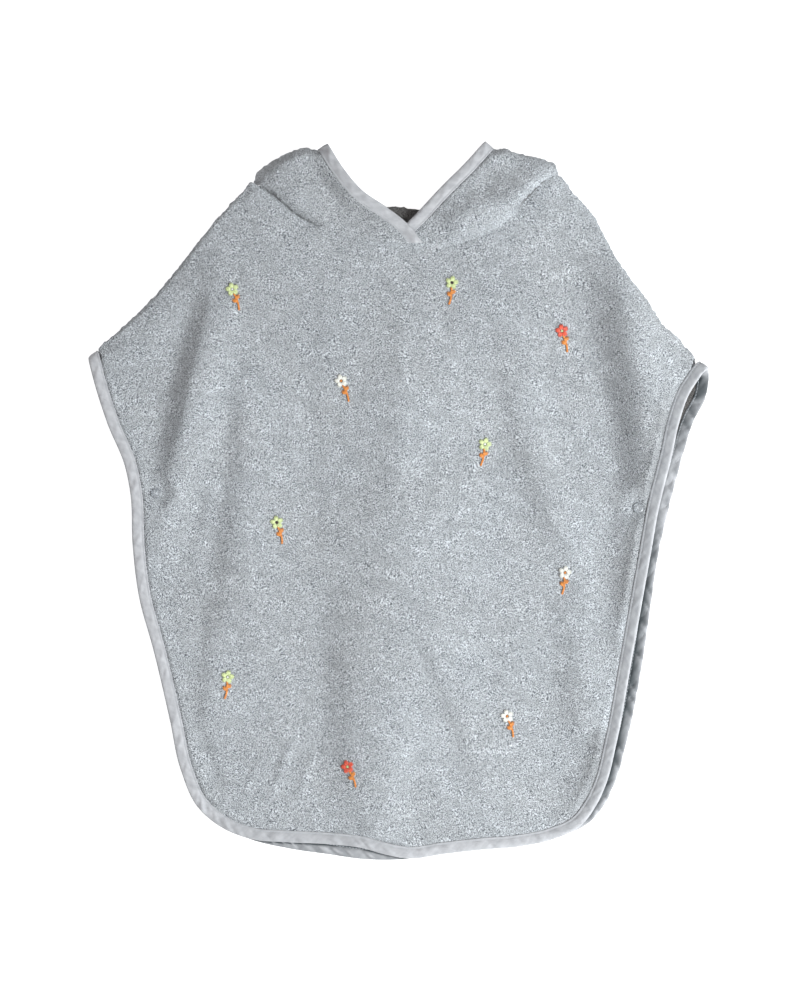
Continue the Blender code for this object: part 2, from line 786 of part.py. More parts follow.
def turned(name, profile, at, color):
    """A turned piece from a profile of radius and height rows, closed on the axis at both ends."""
    bm = bmesh.new()
    verts = [bm.verts.new((at[0] + radius, at[1], height)) for radius, height in profile]
    for one, two in zip(verts, verts[1:]):
        bm.edges.new((one, two))
    bmesh.ops.spin(
        bm,
        geom=bm.verts[:] + bm.edges[:],
        cent=(at[0], at[1], 0.0),
        axis=(0.0, 0.0, 1.0),
        angle=2 * math.pi,
        steps=12,
        use_merge=True,
    )
    return finish_mesh(name, bm, color, 0.3)


def make_studs():
    """Each closed press stud: the socket on the front and the stud on the back."""
    front_low = STUD_FRONT_BOTTOM
    front_high = front_low + STUD_CLOTH
    back_low = STUD_BACK_BOTTOM
    back_high = back_low + TERRY
    split = back_high + GAP + 1.2
    socket = (
        (0.0, front_high + GAP + 1.3),
        (2.6, front_high + GAP + 1.2),
        (STUD_RADIUS - 0.6, front_high + GAP + 0.8),
        (STUD_RADIUS, front_high + GAP + 0.3),
        (STUD_RADIUS - 0.5, front_high + GAP),
        (STUD_POST, front_high + GAP),
        (STUD_POST, front_low - GAP),
        (STUD_RADIUS - 0.6, front_low - GAP),
        (STUD_RADIUS - 0.6, split + GAP),
        (2.2, split + GAP),
        (2.2, front_low - GAP - 0.8),
        (0.0, front_low - GAP - 0.8),
    )
    ball = (
        (0.0, front_low - GAP - 1.1),
        (1.5, front_low - GAP - 1.1),
        (1.9, split + GAP + 0.3),
        (1.7, split),
        (STUD_RADIUS - 0.6, split),
        (STUD_RADIUS - 0.6, back_high + GAP),
        (STUD_POST, back_high + GAP),
        (STUD_POST, back_low - GAP),
        (STUD_RADIUS - 0.5, back_low - GAP),
        (STUD_RADIUS, back_low - GAP - 0.4),
        (STUD_RADIUS - 0.8, 0.2),
        (0.0, 0.2),
    )
    for side, at in STUDS.items():
        turned(f"press_stud_{side}_socket", socket, at, (0.75, 0.78, 0.80))
        turned(f"press_stud_{side}_ball", ball, at, (0.75, 0.78, 0.80))


def clear_scene():
    """Removes whatever the startup file holds."""
    for obj in list(bpy.data.objects):
        bpy.data.objects.remove(obj)


def main():
    """Makes every sewn piece of the poncho."""
    clear_scene()
    terry = (0.46, 0.49, 0.53)
    make_panel(
        "back_panel",
        BACK_EDGE,
        BACK_NECK,
        BACK_CELL,
        lambda flat, edge_gap, place, shoulder: back_levels(flat, edge_gap, shoulder),
        terry,
    )
    make_panel("front_panel", FRONT_EDGE, FRONT_NECK, PANEL_CELL, front_levels, terry)
    make_body_binding()
    make_hood_half("left")
    make_hood_half("right")
    make_hood_fold()
    make_studs()


main()
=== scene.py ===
"""Looks of a child's hooded bath poncho in looped terry, lying flat with its front up.

Working lengths and tables are in millimetres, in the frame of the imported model, and each finished mesh is
brought to metres once. +X is to the right as the garment is seen from above, +Y is towards the hood.
"""

import logging
import math
from dataclasses import dataclass
from enum import Enum
from typing import Callable, Sequence

import bmesh
import bpy
import numpy as np
from mathutils import Matrix, Vector, noise
from mathutils.bvhtree import BVHTree


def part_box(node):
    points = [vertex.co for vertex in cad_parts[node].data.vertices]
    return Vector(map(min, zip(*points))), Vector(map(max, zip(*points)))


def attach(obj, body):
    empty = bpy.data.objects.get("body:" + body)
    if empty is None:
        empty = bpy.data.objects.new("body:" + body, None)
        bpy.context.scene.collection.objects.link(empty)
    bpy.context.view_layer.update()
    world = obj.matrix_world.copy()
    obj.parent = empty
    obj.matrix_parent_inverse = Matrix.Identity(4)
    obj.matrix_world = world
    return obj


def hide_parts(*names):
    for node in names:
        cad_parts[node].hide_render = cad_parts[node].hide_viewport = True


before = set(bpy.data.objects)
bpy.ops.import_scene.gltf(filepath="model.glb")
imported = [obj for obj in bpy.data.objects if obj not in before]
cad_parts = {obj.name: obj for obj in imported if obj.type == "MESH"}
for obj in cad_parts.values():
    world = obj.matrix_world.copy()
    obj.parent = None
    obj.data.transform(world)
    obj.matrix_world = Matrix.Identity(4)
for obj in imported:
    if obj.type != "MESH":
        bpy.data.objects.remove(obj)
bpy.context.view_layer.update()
LOG = logging.getLogger("poncho")
MM = 0.001
BINDING_WIDTH = 11.0
# A height over the whole garment, and a distance for where there is nothing near.
OVERHEAD = 100.0
FAR = 1e6
Array = np.ndarray
Rows = Sequence[Sequence[float]]
Color = tuple[float, float, float, float]
Socket = bpy.types.NodeSocket

# The bound edge, walked from the left sleeve tip round the hem to the right sleeve tip.
EDGE: Rows = (
    # x, y: the front's fold. back_dx, back_dy: to the back's fold. height: of the front's middle.
    (-286, 126, 1.5, 0, 8.8),
    (-281, 107, 1.5, 0, 9.2),
    (-269, 70, 1.5, 0, 9.6),
    (-253, 31, 1.5, 0, 9.6),
    (-248, 6, 1.5, 0, 9.6),
    (-246, -41, 1.5, 0, 9.0),
    (-240, -90, 1.5, 0, 8.0),
    (-227, -138, 1.5, 0, 7.6),
    (-212, -202, 1.5, 0, 7.2),
    (-202, -248, 1.5, 1, 7.0),
    (-186, -283, 1.5, 1, 6.8),
    (-165, -301, 0, 1, 6.6),
    (-138, -312, 0, -1, 6.6),
    (-105, -315, 0, -6, 6.8),
    (-65, -317, 0, -10, 6.6),
    (-37, -320, 0, -11, 7.6),
    (-10, -327, 0, -5, 8.4),
    (8, -330, 0, -1, 7.6),
    (40, -326, 0, 1.5, 6.6),
    (75, -322, 0, 1.5, 6.8),
    (110, -319, 0, 1.5, 6.6),
    (142, -312, 1, 1.5, 6.8),
    (165, -301, 5, 0, 7.2),
    (180, -282, 8, 0, 7.8),
    (189, -263, 8.5, 0, 8.4),
    (199, -224, 10, 0, 9.4),
    (213, -148, 11, 0, 10.4),
    (222, -97, 9.5, 0, 10.8),
    (231, -47, 8, 0, 10.4),
    (238, -8, 10, 0, 9.9),
    (250, 41, 11, 0, 11.0),
    (257, 73, 14, 0, 12.2),
    (265, 96, 16.5, -3, 12.8),
    (277, 115, 8, -4, 12.6),
)
LEFT_SHOULDER: Rows = ((-275, 142), (-241, 172), (-211, 205), (-184, 240), (-166, 262), (-137, 290))
RIGHT_SHOULDER: Rows = (
    (267, 136),
    (247, 152),
    (227, 184),
    (202, 216),
    (187, 246),
    (178, 263),
    (163, 279),
    (147, 292),
)
NECK: Rows = (
    (-129, 287),
    (-111, 276),
    (-96, 262),
    (-72, 249),
    (-28, 236),
    (22, 230),
    (64, 239),
    (84, 247),
    (103, 261),
    (117, 278),
    (126, 288),
    (135, 293),
)
LEFT_OPENING: Rows = ((24, 232), (6, 254), (-12, 268), (-35, 284), (-51, 303), (-67, 329))
RIGHT_OPENING: Rows = ((-8, 236), (6, 254), (17, 265), (37, 286), (59, 308), (79, 331))


def smoothstep(share: Array | float) -> Array | float:
    """Eases from 0 to 1 as share goes from 0 to 1."""
    share = np.clip(share, 0.0, 1.0)
    return share * share * (3.0 - 2.0 * share)


def spline(rows: Rows | Array, step: float) -> Array:
    """Samples a smooth line through the rows of a table.

    Args:
        rows: The table, with x and y as its first two columns.
        step: Distance between two places along the line, in millimetres.

    Returns:
        One row for each place, with every column of the table.
    """
    knots = np.array(rows, float)
    lengths = np.linalg.norm(np.diff(knots[:, :2], axis=0), axis=1)
    at = np.concatenate([[0.0], np.cumsum(lengths)])
    slopes = np.gradient(knots, at, axis=0)
    places = np.linspace(0.0, at[-1], max(2, round(at[-1] / step) + 1))
    left = np.clip(np.searchsorted(at, places, side="right") - 1, 0, len(at) - 2)
    span = (at[left + 1] - at[left])[:, None]
    t = ((places - at[left])[:, None]) / span
    return (
        (2 * t**3 - 3 * t**2 + 1) * knots[left]
        + (t**3 - 2 * t**2 + t) * span * slopes[left]
        + (3 * t**2 - 2 * t**3) * knots[left + 1]
        + (t**3 - t**2) * span * slopes[left + 1]
    )


def inward(line: Array) -> Array:
    """Works out the unit normals in plan on the left of an open line.

    Args:
        line: The line's places, in order.

    Returns:
        One normal for each place.
    """
    along = np.gradient(line[:, :2], axis=0)
    along /= np.linalg.norm(along, axis=1)[:, None]
    return np.stack([-along[:, 1], along[:, 0]], axis=1)


def distance_to(points: Array, line: Array) -> tuple[Array, Array]:
    """Finds the distance in plan from each point to an open line.

    Args:
        points: Places, with x and y as their first two columns.
        line: The line's places, in order.

    Returns:
        The distances, and the nearest places along the line as row numbers.
    """
    best = np.full(len(points), np.inf)
    place = np.zeros(len(points))
    flat = points[:, :2]
    for number, (start, end) in enumerate(zip(line[:-1, :2], line[1:, :2])):
        span = end - start
        share = np.clip(((flat - start) @ span) / max(span @ span, 1e-9), 0.0, 1.0)
        gap = np.linalg.norm(flat - start - share[:, None] * span, axis=1)
        nearer = gap < best
        best[nearer] = gap[nearer]
        place[nearer] = number + share[nearer]
    return best, place


def grain(points: Array, size: float, seed: float) -> Array:
    """Smooth noise from -1 to 1 at points in space, with lumps of the given size."""
    shift = Vector((seed, seed * 0.37, -seed * 0.71))
    return np.array([noise.noise(Vector(point) / size + shift) for point in points])


@dataclass(frozen=True)
class Crease:
    """A soft ridge or trough through three places in plan, with a flank on either side of it."""

    start: tuple[float, float]
    middle: tuple[float, float]
    end: tuple[float, float]
    height: float
    left: float
    right: float
    keen: float = 0.0

    def heights(self, points: Array) -> Array:
        """Works out how far the crease raises or lowers the cloth.

        Args:
            points: Places on the cloth, in millimetres.

        Returns:
            A height for each place, negative in a trough.
        """
        knots = np.array([self.start, self.middle, self.end], float)
        line = spline(knots, np.linalg.norm(knots[2] - knots[0]) / 16)
        gap, place = distance_to(points, line)
        step = np.minimum(place.astype(int), len(line) - 2)
        span = line[step + 1] - line[step]
        off = points[:, :2] - line[step]
        upward = self.end[1] > self.start[1]
        on_left = (span[:, 0] * off[:, 1] - span[:, 1] * off[:, 0] > 0) == upward
        across = np.clip(gap / np.where(on_left, self.left, self.right), 0.0, 1.0)
        soft = 0.5 * (1.0 + np.cos(np.pi * across))
        sharp = 1.0 - np.sin(0.5 * np.pi * across)
        shape = np.where(on_left, self.keen * sharp + (1.0 - self.keen) * soft, soft)
        last = len(line) - 1
        ends = smoothstep(place / (0.3 * last)) * smoothstep((last - place) / (0.3 * last))
        return self.height * shape * ends


class Nodes:
    """Adds shader nodes to a tree and joins them, so that a finish reads as a short recipe."""

    def __init__(self, tree: bpy.types.NodeTree) -> None:
        """Takes the tree that the nodes go in."""
        self.tree = tree

    def add(
        self, kind: str, inputs: dict[str | int, object] | None = None, **settings: object
    ) -> bpy.types.Node:
        """Adds one node.

        Args:
            kind: The node's type name without its ShaderNode prefix.
            inputs: Values or output sockets for its inputs, by name or number.
            settings: Properties of the node.

        Returns:
            The node.
        """
        node = self.tree.nodes.new(kind if kind.startswith("NodeGroup") else f"ShaderNode{kind}")
        for name, value in settings.items():
            setattr(node, name, value)
        for name, value in (inputs or {}).items():
            socket = node.inputs[name]
            if isinstance(value, bpy.types.NodeSocket):
                self.tree.links.new(value, socket)
            else:
                socket.default_value = value
        return node

    def math(self, operation: str, *values: object) -> bpy.types.NodeSocket:
        """Adds a Math node on the values and gives its result."""
        return self.add("Math", dict(enumerate(values)), operation=operation).outputs[0]

    def mix(self, share: object, one: object, other: object) -> bpy.types.NodeSocket:
        """Mixes two colours and gives the result."""
        node = self.add("Mix", {0: share, 6: one, 7: other}, data_type="RGBA")
        return node.outputs[2]


def open_group(
    name: str, inputs: dict[str, str], outputs: dict[str, str]
) -> tuple[Nodes, dict[str, Socket], bpy.types.Node]:
    """Starts a shader node group.

    Args:
        name: The group's name.
        inputs: Names and types of its inputs.
        outputs: Names and types of its outputs.

    Returns:
        Its nodes, its input sockets by name, and the node that takes its outputs.
    """
    tree = bpy.data.node_groups.new(name, "ShaderNodeTree")
    for label, kind in inputs.items():
        tree.interface.new_socket(name=label, in_out="INPUT", socket_type=f"NodeSocket{kind}")
    for label, kind in outputs.items():
        tree.interface.new_socket(name=label, in_out="OUTPUT", socket_type=f"NodeSocket{kind}")
    nodes = Nodes(tree)
    source = nodes.add("NodeGroupInput")
    sink = nodes.add("NodeGroupOutput")
    return nodes, {label: source.outputs[label] for label in inputs}, sink


def terry_pile_group() -> bpy.types.NodeTree:
    """Builds the looped pile: small loops with painted light on their tips and painted shade in the gaps
    between them, in uneven clumps.

    Returns:
        A group that puts out the pile's colour and its height from 0 to 1.
    """
    inputs = {"Vector": "Vector", "Loops": "Float", "Tips": "Color", "Gaps": "Color"}
    nodes, given, sink = open_group("terry_pile", inputs, {"Color": "Color", "Height": "Float"})
    warp = nodes.add("TexNoise", {"Vector": given["Vector"], "Scale": 60.0, "Detail": 1.0})
    shift = nodes.add("VectorMath", {0: warp.outputs["Color"], 1: (0.5, 0.5, 0.5)}, operation="SUBTRACT")
    bend = nodes.add("VectorMath", {0: shift.outputs[0], "Scale": 0.012}, operation="SCALE")
    place = nodes.add("VectorMath", {0: given["Vector"], 1: bend.outputs[0]}, operation="ADD").outputs[0]
    loops = nodes.add("TexVoronoi", {"Vector": place, "Scale": given["Loops"], "Randomness": 1.0})
    rounded = nodes.add(
        "MapRange",
        {"Value": loops.outputs["Distance"], "From Min": 0.2, "From Max": 0.7, "To Min": 1.0, "To Max": 0.0},
    ).outputs[0]
    lean = {"Rotation": (0.0, 0.0, 0.9), "Scale": (1.0, 1.6, 1.0)}
    leaning = nodes.add("Mapping", {"Vector": place, **lean}, vector_type="TEXTURE")
    fine = nodes.math("MULTIPLY", given["Loops"], 1.2)
    strands = nodes.add(
        "TexNoise", {"Vector": leaning.outputs[0], "Scale": fine, "Detail": 1.0, "Roughness": 0.6}
    ).outputs["Fac"]
    strand = nodes.add(
        "MapRange", {"Value": strands, "From Min": 0.39, "From Max": 0.61, "To Min": 0.0, "To Max": 1.0}
    ).outputs[0]
    height = nodes.math("ADD", nodes.math("MULTIPLY", rounded, 0.45), nodes.math("MULTIPLY", strand, 0.55))
    clump = nodes.add("TexNoise", {"Vector": given["Vector"], "Scale": 46.0, "Detail": 2.0, "Roughness": 0.6})
    lift = nodes.math("MULTIPLY_ADD", clump.outputs["Fac"], 0.16, -0.08)
    share = nodes.add("Clamp", {"Value": nodes.math("ADD", height, lift)}).outputs[0]
    # Painted shade in the gaps and painted light on the loops' tips, set by the pile's height.
    color = nodes.mix(share, given["Gaps"], given["Tips"])
    nodes.tree.links.new(color, sink.inputs["Color"])
    nodes.tree.links.new(height, sink.inputs["Height"])
    return nodes.tree


def plain_weave_group() -> bpy.types.NodeTree:
    """Builds a fine plain weave cut on the bias, with a little slub.

    Returns:
        A group that puts out a thread height and an uneven tone, both from 0 to 1.
    """
    inputs = {"Vector": "Vector", "Threads": "Float"}
    nodes, given, sink = open_group("plain_weave", inputs, {"Height": "Float", "Tone": "Float"})
    turned = nodes.add("Mapping", {"Vector": given["Vector"], "Rotation": (0.0, 0.0, math.radians(45))})
    parts = nodes.add("SeparateXYZ", {0: turned.outputs[0]})
    waves = []
    for axis in ("X", "Y"):
        turn = nodes.math("MULTIPLY", parts.outputs[axis], given["Threads"])
        waves.append(nodes.math("SINE", turn))
    height = nodes.math("MULTIPLY_ADD", nodes.math("MULTIPLY", *waves), 0.5, 0.5)
    slub = nodes.add(
        "TexNoise", {"Vector": given["Vector"], "Scale": 170.0, "Detail": 4.0, "Roughness": 0.62}
    )
    nodes.tree.links.new(height, sink.inputs["Height"])
    nodes.tree.links.new(slub.outputs["Fac"], sink.inputs["Tone"])
    return nodes.tree


class Effects:
    """The shader node groups that several finishes share, each built once."""

    def __init__(self) -> None:
        """Builds the groups."""
        self.pile = terry_pile_group()
        self.weave = plain_weave_group()


@dataclass(frozen=True)
class TerryFinish:
    """Looped cotton terry, with painted shade where the mesh's shade attribute marks it, and painted light
    and shade on its loops.
    """

    name: str
    # tips, gaps: lit and shaded copies of the terry's colour, for painted light on the loops' tips and
    # painted shade in their gaps. shade: the colour of painted shade.
    tips: Color
    gaps: Color
    shade: Color
    loops: float = 1120.0
    bump: float = 0.0007

    def material(self, effects: Effects) -> bpy.types.Material:
        """Builds the material.

        Args:
            effects: The shared node groups.

        Returns:
            The material, with its pattern on Object coordinates.
        """
        made = bpy.data.materials.new(self.name)
        made.use_nodes = True
        nodes = Nodes(made.node_tree)
        shader = made.node_tree.nodes["Principled BSDF"]
        place = nodes.add("TexCoord").outputs["Object"]
        pile = nodes.add("Group", {}, node_tree=effects.pile)
        made.node_tree.links.new(place, pile.inputs["Vector"])
        pile.inputs["Loops"].default_value = self.loops
        pile.inputs["Tips"].default_value = self.tips
        pile.inputs["Gaps"].default_value = self.gaps
        tone = nodes.add("TexNoise", {"Vector": place, "Scale": 9.0, "Detail": 2.0})
        warm = nodes.add("TexNoise", {"Vector": place, "Scale": 17.0, "Detail": 1.0})
        level = nodes.math("MULTIPLY_ADD", tone.outputs["Fac"], 0.16, 0.92)
        toned = nodes.add(
            "Mix", {0: 1.0, 6: pile.outputs["Color"], 7: level}, data_type="RGBA", blend_type="MULTIPLY"
        ).outputs[2]
        saturation = nodes.math("MULTIPLY_ADD", warm.outputs["Fac"], 0.4, 0.84)
        hue = nodes.add("HueSaturation", {"Color": toned, "Saturation": saturation})
        # The shade attribute: how much painted shade each point gets.
        mark = nodes.add("Attribute", {}, attribute_name="shade").outputs["Fac"]
        deep = nodes.mix(0.35, self.shade, hue.outputs[0])
        shaded = nodes.add(
            "Mix", {0: 1.0, 6: self.shade, 7: pile.outputs["Height"]}, data_type="RGBA", blend_type="MULTIPLY"
        ).outputs[2]
        color = nodes.mix(mark, hue.outputs[0], nodes.mix(0.6, deep, shaded))
        made.node_tree.links.new(color, shader.inputs["Base Color"])
        bump = nodes.add("Bump", {"Strength": 1.0, "Distance": self.bump, "Height": pile.outputs["Height"]})
        made.node_tree.links.new(bump.outputs[0], shader.inputs["Normal"])
        shader.inputs["Roughness"].default_value = 0.95
        shader.inputs["Sheen Weight"].default_value = 0.12
        shader.inputs["Sheen Roughness"].default_value = 0.6
        shader.inputs["Specular IOR Level"].default_value = 0.2
        return made


@dataclass(frozen=True)
class TapeFinish:
    """Plain woven cotton of the bias binding, on the tape's own UV map, with painted shade of its puckers and
    painted shade where the mesh marks it.
    """

    name: str
    # light, dark: the tape's tone, moved by its slub and by painted pucker shade. shade: the colour of
    # painted shade.
    light: Color
    dark: Color
    shade: Color
    threads: float = 9000.0

    def material(self, effects: Effects) -> bpy.types.Material:
        """Builds the material.

        Args:
            effects: The shared node groups.

        Returns:
            The material.
        """
        made = bpy.data.materials.new(self.name)
        made.use_nodes = True
        nodes = Nodes(made.node_tree)
        shader = made.node_tree.nodes["Principled BSDF"]
        along = nodes.add("UVMap", {}, uv_map="UVMap").outputs[0]
        weave = nodes.add("Group", {"Vector": along, "Threads": self.threads}, node_tree=effects.weave)
        # Slanting streaks of painted shade from the puckers' creases, uneven at random.
        lean = {"Rotation": (0.0, 0.0, 0.8), "Scale": (1.0, 3.4, 1.0)}
        soft = nodes.add("Mapping", {"Vector": along, **lean}, vector_type="TEXTURE")
        wear = nodes.add(
            "TexNoise", {"Vector": soft.outputs[0], "Scale": 190.0, "Detail": 3.0, "Roughness": 0.6}
        )
        share = nodes.math(
            "ADD",
            nodes.math("MULTIPLY", weave.outputs["Tone"], 0.45),
            nodes.math("MULTIPLY", wear.outputs["Fac"], 0.75),
        )
        spread = nodes.add(
            "MapRange", {"Value": share, "From Min": 0.42, "From Max": 0.78, "To Min": 0.0, "To Max": 1.0}
        )
        base = nodes.mix(spread.outputs[0], self.dark, self.light)
        # The shade attribute: how much painted shade each point gets.
        mark = nodes.add("Attribute", {}, attribute_name="shade").outputs["Fac"]
        made.node_tree.links.new(nodes.mix(mark, base, self.shade), shader.inputs["Base Color"])
        bump = nodes.add("Bump", {"Strength": 0.5, "Distance": 0.0002, "Height": weave.outputs["Height"]})
        made.node_tree.links.new(bump.outputs[0], shader.inputs["Normal"])
        shader.inputs["Roughness"].default_value = 0.8
        shader.inputs["Sheen Weight"].default_value = 0.15
        shader.inputs["Sheen Roughness"].default_value = 0.45
        shader.inputs["Specular IOR Level"].default_value = 0.3
        return made


@dataclass(frozen=True)
class ThreadFinish:
    """Sewing or embroidery thread, twisted and slightly glossy."""

    name: str
    light: Color
    dark: Color
    roughness: float = 0.55

    def material(self) -> bpy.types.Material:
        """Builds the material.

        Returns:
            The material, with its twist on Object coordinates.
        """
        made = bpy.data.materials.new(self.name)
        made.use_nodes = True
        nodes = Nodes(made.node_tree)
        shader = made.node_tree.nodes["Principled BSDF"]
        place = nodes.add("TexCoord").outputs["Object"]
        twist = nodes.add("TexNoise", {"Vector": place, "Scale": 900.0, "Detail": 2.0, "Roughness": 0.6})
        limits = {"From Min": 0.35, "From Max": 0.65, "To Min": 0.0, "To Max": 1.0}
        spread = nodes.add("MapRange", {"Value": twist.outputs["Fac"], **limits})
        color = nodes.mix(spread.outputs[0], self.dark, self.light)
        made.node_tree.links.new(color, shader.inputs["Base Color"])
        bump = nodes.add("Bump", {"Strength": 0.5, "Distance": 0.0002, "Height": twist.outputs["Fac"]})
        made.node_tree.links.new(bump.outputs[0], shader.inputs["Normal"])
        shader.inputs["Roughness"].default_value = self.roughness
        shader.inputs["Sheen Weight"].default_value = 0.2
        return made


@dataclass(frozen=True)
class ClearPlasticFinish:
    """Clear moulded plastic of the press studs, a little milky and scuffed."""

    name: str

    def material(self) -> bpy.types.Material:
        """Builds the material.

        Returns:
            The material, with its scuffs on Object coordinates.
        """
        made = bpy.data.materials.new(self.name)
        made.use_nodes = True
        nodes = Nodes(made.node_tree)
        shader = made.node_tree.nodes["Principled BSDF"]
        place = nodes.add("TexCoord").outputs["Object"]
        scuff = nodes.add("TexNoise", {"Vector": place, "Scale": 700.0, "Detail": 4.0, "Roughness": 0.6})
        limits = {"From Min": 0.3, "From Max": 0.7, "To Min": 0.12, "To Max": 0.3}
        rough = nodes.add("MapRange", {"Value": scuff.outputs["Fac"], **limits})
        made.node_tree.links.new(rough.outputs[0], shader.inputs["Roughness"])
        shader.inputs["Base Color"].default_value = (0.86, 0.89, 0.92, 1.0)
        shader.inputs["Transmission Weight"].default_value = 0.85
        shader.inputs["IOR"].default_value = 1.45
        return made


def cloth_object(name: str, mesh: bmesh.types.BMesh, material: bpy.types.Material) -> bpy.types.Object:
    """Turns a mesh in millimetres into a smooth object in metres.

    Args:
        name: The object's name.
        mesh: The mesh, which is used up.
        material: Its finish.

    Returns:
        The object, at the origin.
    """
    bmesh.ops.scale(mesh, vec=(MM, MM, MM), verts=mesh.verts)
    data = bpy.data.meshes.new(name)
    mesh.to_mesh(data)
    mesh.free()
    data.shade_smooth()
    data.materials.append(material)
    made = bpy.data.objects.new(name, data)
    bpy.context.scene.collection.objects.link(made)
    return made


def mark_shade(made: bpy.types.Object, shade: Array) -> None:
    """Stores the painted shade of each point of a piece, from 0 to 1: how deep in shade it lies."""
    attribute = made.data.attributes.new("shade", "FLOAT", "POINT")
    attribute.data.foreach_set("value", np.asarray(shade, np.float32))


def solid_mesh(node: str) -> bmesh.types.BMesh:
    """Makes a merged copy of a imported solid.

    Args:
        node: The solid's name.

    Returns:
        Its mesh, in millimetres.
    """
    mesh = bmesh.new()
    mesh.from_mesh(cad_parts[node].data)
    bmesh.ops.scale(mesh, vec=(1 / MM, 1 / MM, 1 / MM), verts=mesh.verts)
    bmesh.ops.remove_doubles(mesh, verts=mesh.verts, dist=0.01)
    bmesh.ops.recalc_face_normals(mesh, faces=mesh.faces)
    return mesh


class SolidTop:
    """Finds the height of a surface under a place in plan."""

    def __init__(self, mesh: bmesh.types.BMesh) -> None:
        """Takes a mesh in millimetres, which stays as it is."""
        self.tree = BVHTree.FromBMesh(mesh)

    def height(self, x: float, y: float, otherwise: float) -> float:
        """Height of the surface at a place, or another value where there is none."""
        hit = self.tree.ray_cast(Vector((x, y, OVERHEAD)), Vector((0.0, 0.0, -1.0)))
        return hit[0].z if hit[0] is not None else otherwise

    def normal(self, x: float, y: float) -> Vector:
        """The surface's direction at a place, straight up where there is none."""
        hit = self.tree.ray_cast(Vector((x, y, OVERHEAD)), Vector((0.0, 0.0, -1.0)))
        return hit[1] if hit[0] is not None else Vector((0.0, 0.0, 1.0))


def surface_of(*pieces: bpy.types.Object) -> SolidTop:
    """Gathers the surface of some finished pieces.

    Args:
        pieces: The pieces.

    Returns:
        Their surface, in millimetres.
    """
    mesh = bmesh.new()
    for piece in pieces:
        mesh.from_mesh(piece.data)
    bmesh.ops.scale(mesh, vec=(1 / MM, 1 / MM, 1 / MM), verts=mesh.verts)
    top = SolidTop(mesh)
    mesh.free()
    return top


def seam_depth(x: Array | float) -> Array | float:
    """How deep the neck seam lies, from 0 to 1: hardly at all in the middle, deep by the shoulders."""
    return 0.08 + 0.92 * np.maximum(smoothstep((-68.0 - x) / 16.0), smoothstep((x - 104.0) / 14.0))


def points_of(mesh: bmesh.types.BMesh) -> Array:
    """The places of a mesh's points."""
    return np.array([vert.co for vert in mesh.verts], float)


def place_points(mesh: bmesh.types.BMesh, points: Array) -> None:
    """Moves a mesh's points to new places."""
    for vert, point in zip(mesh.verts, points):
        vert.co = point


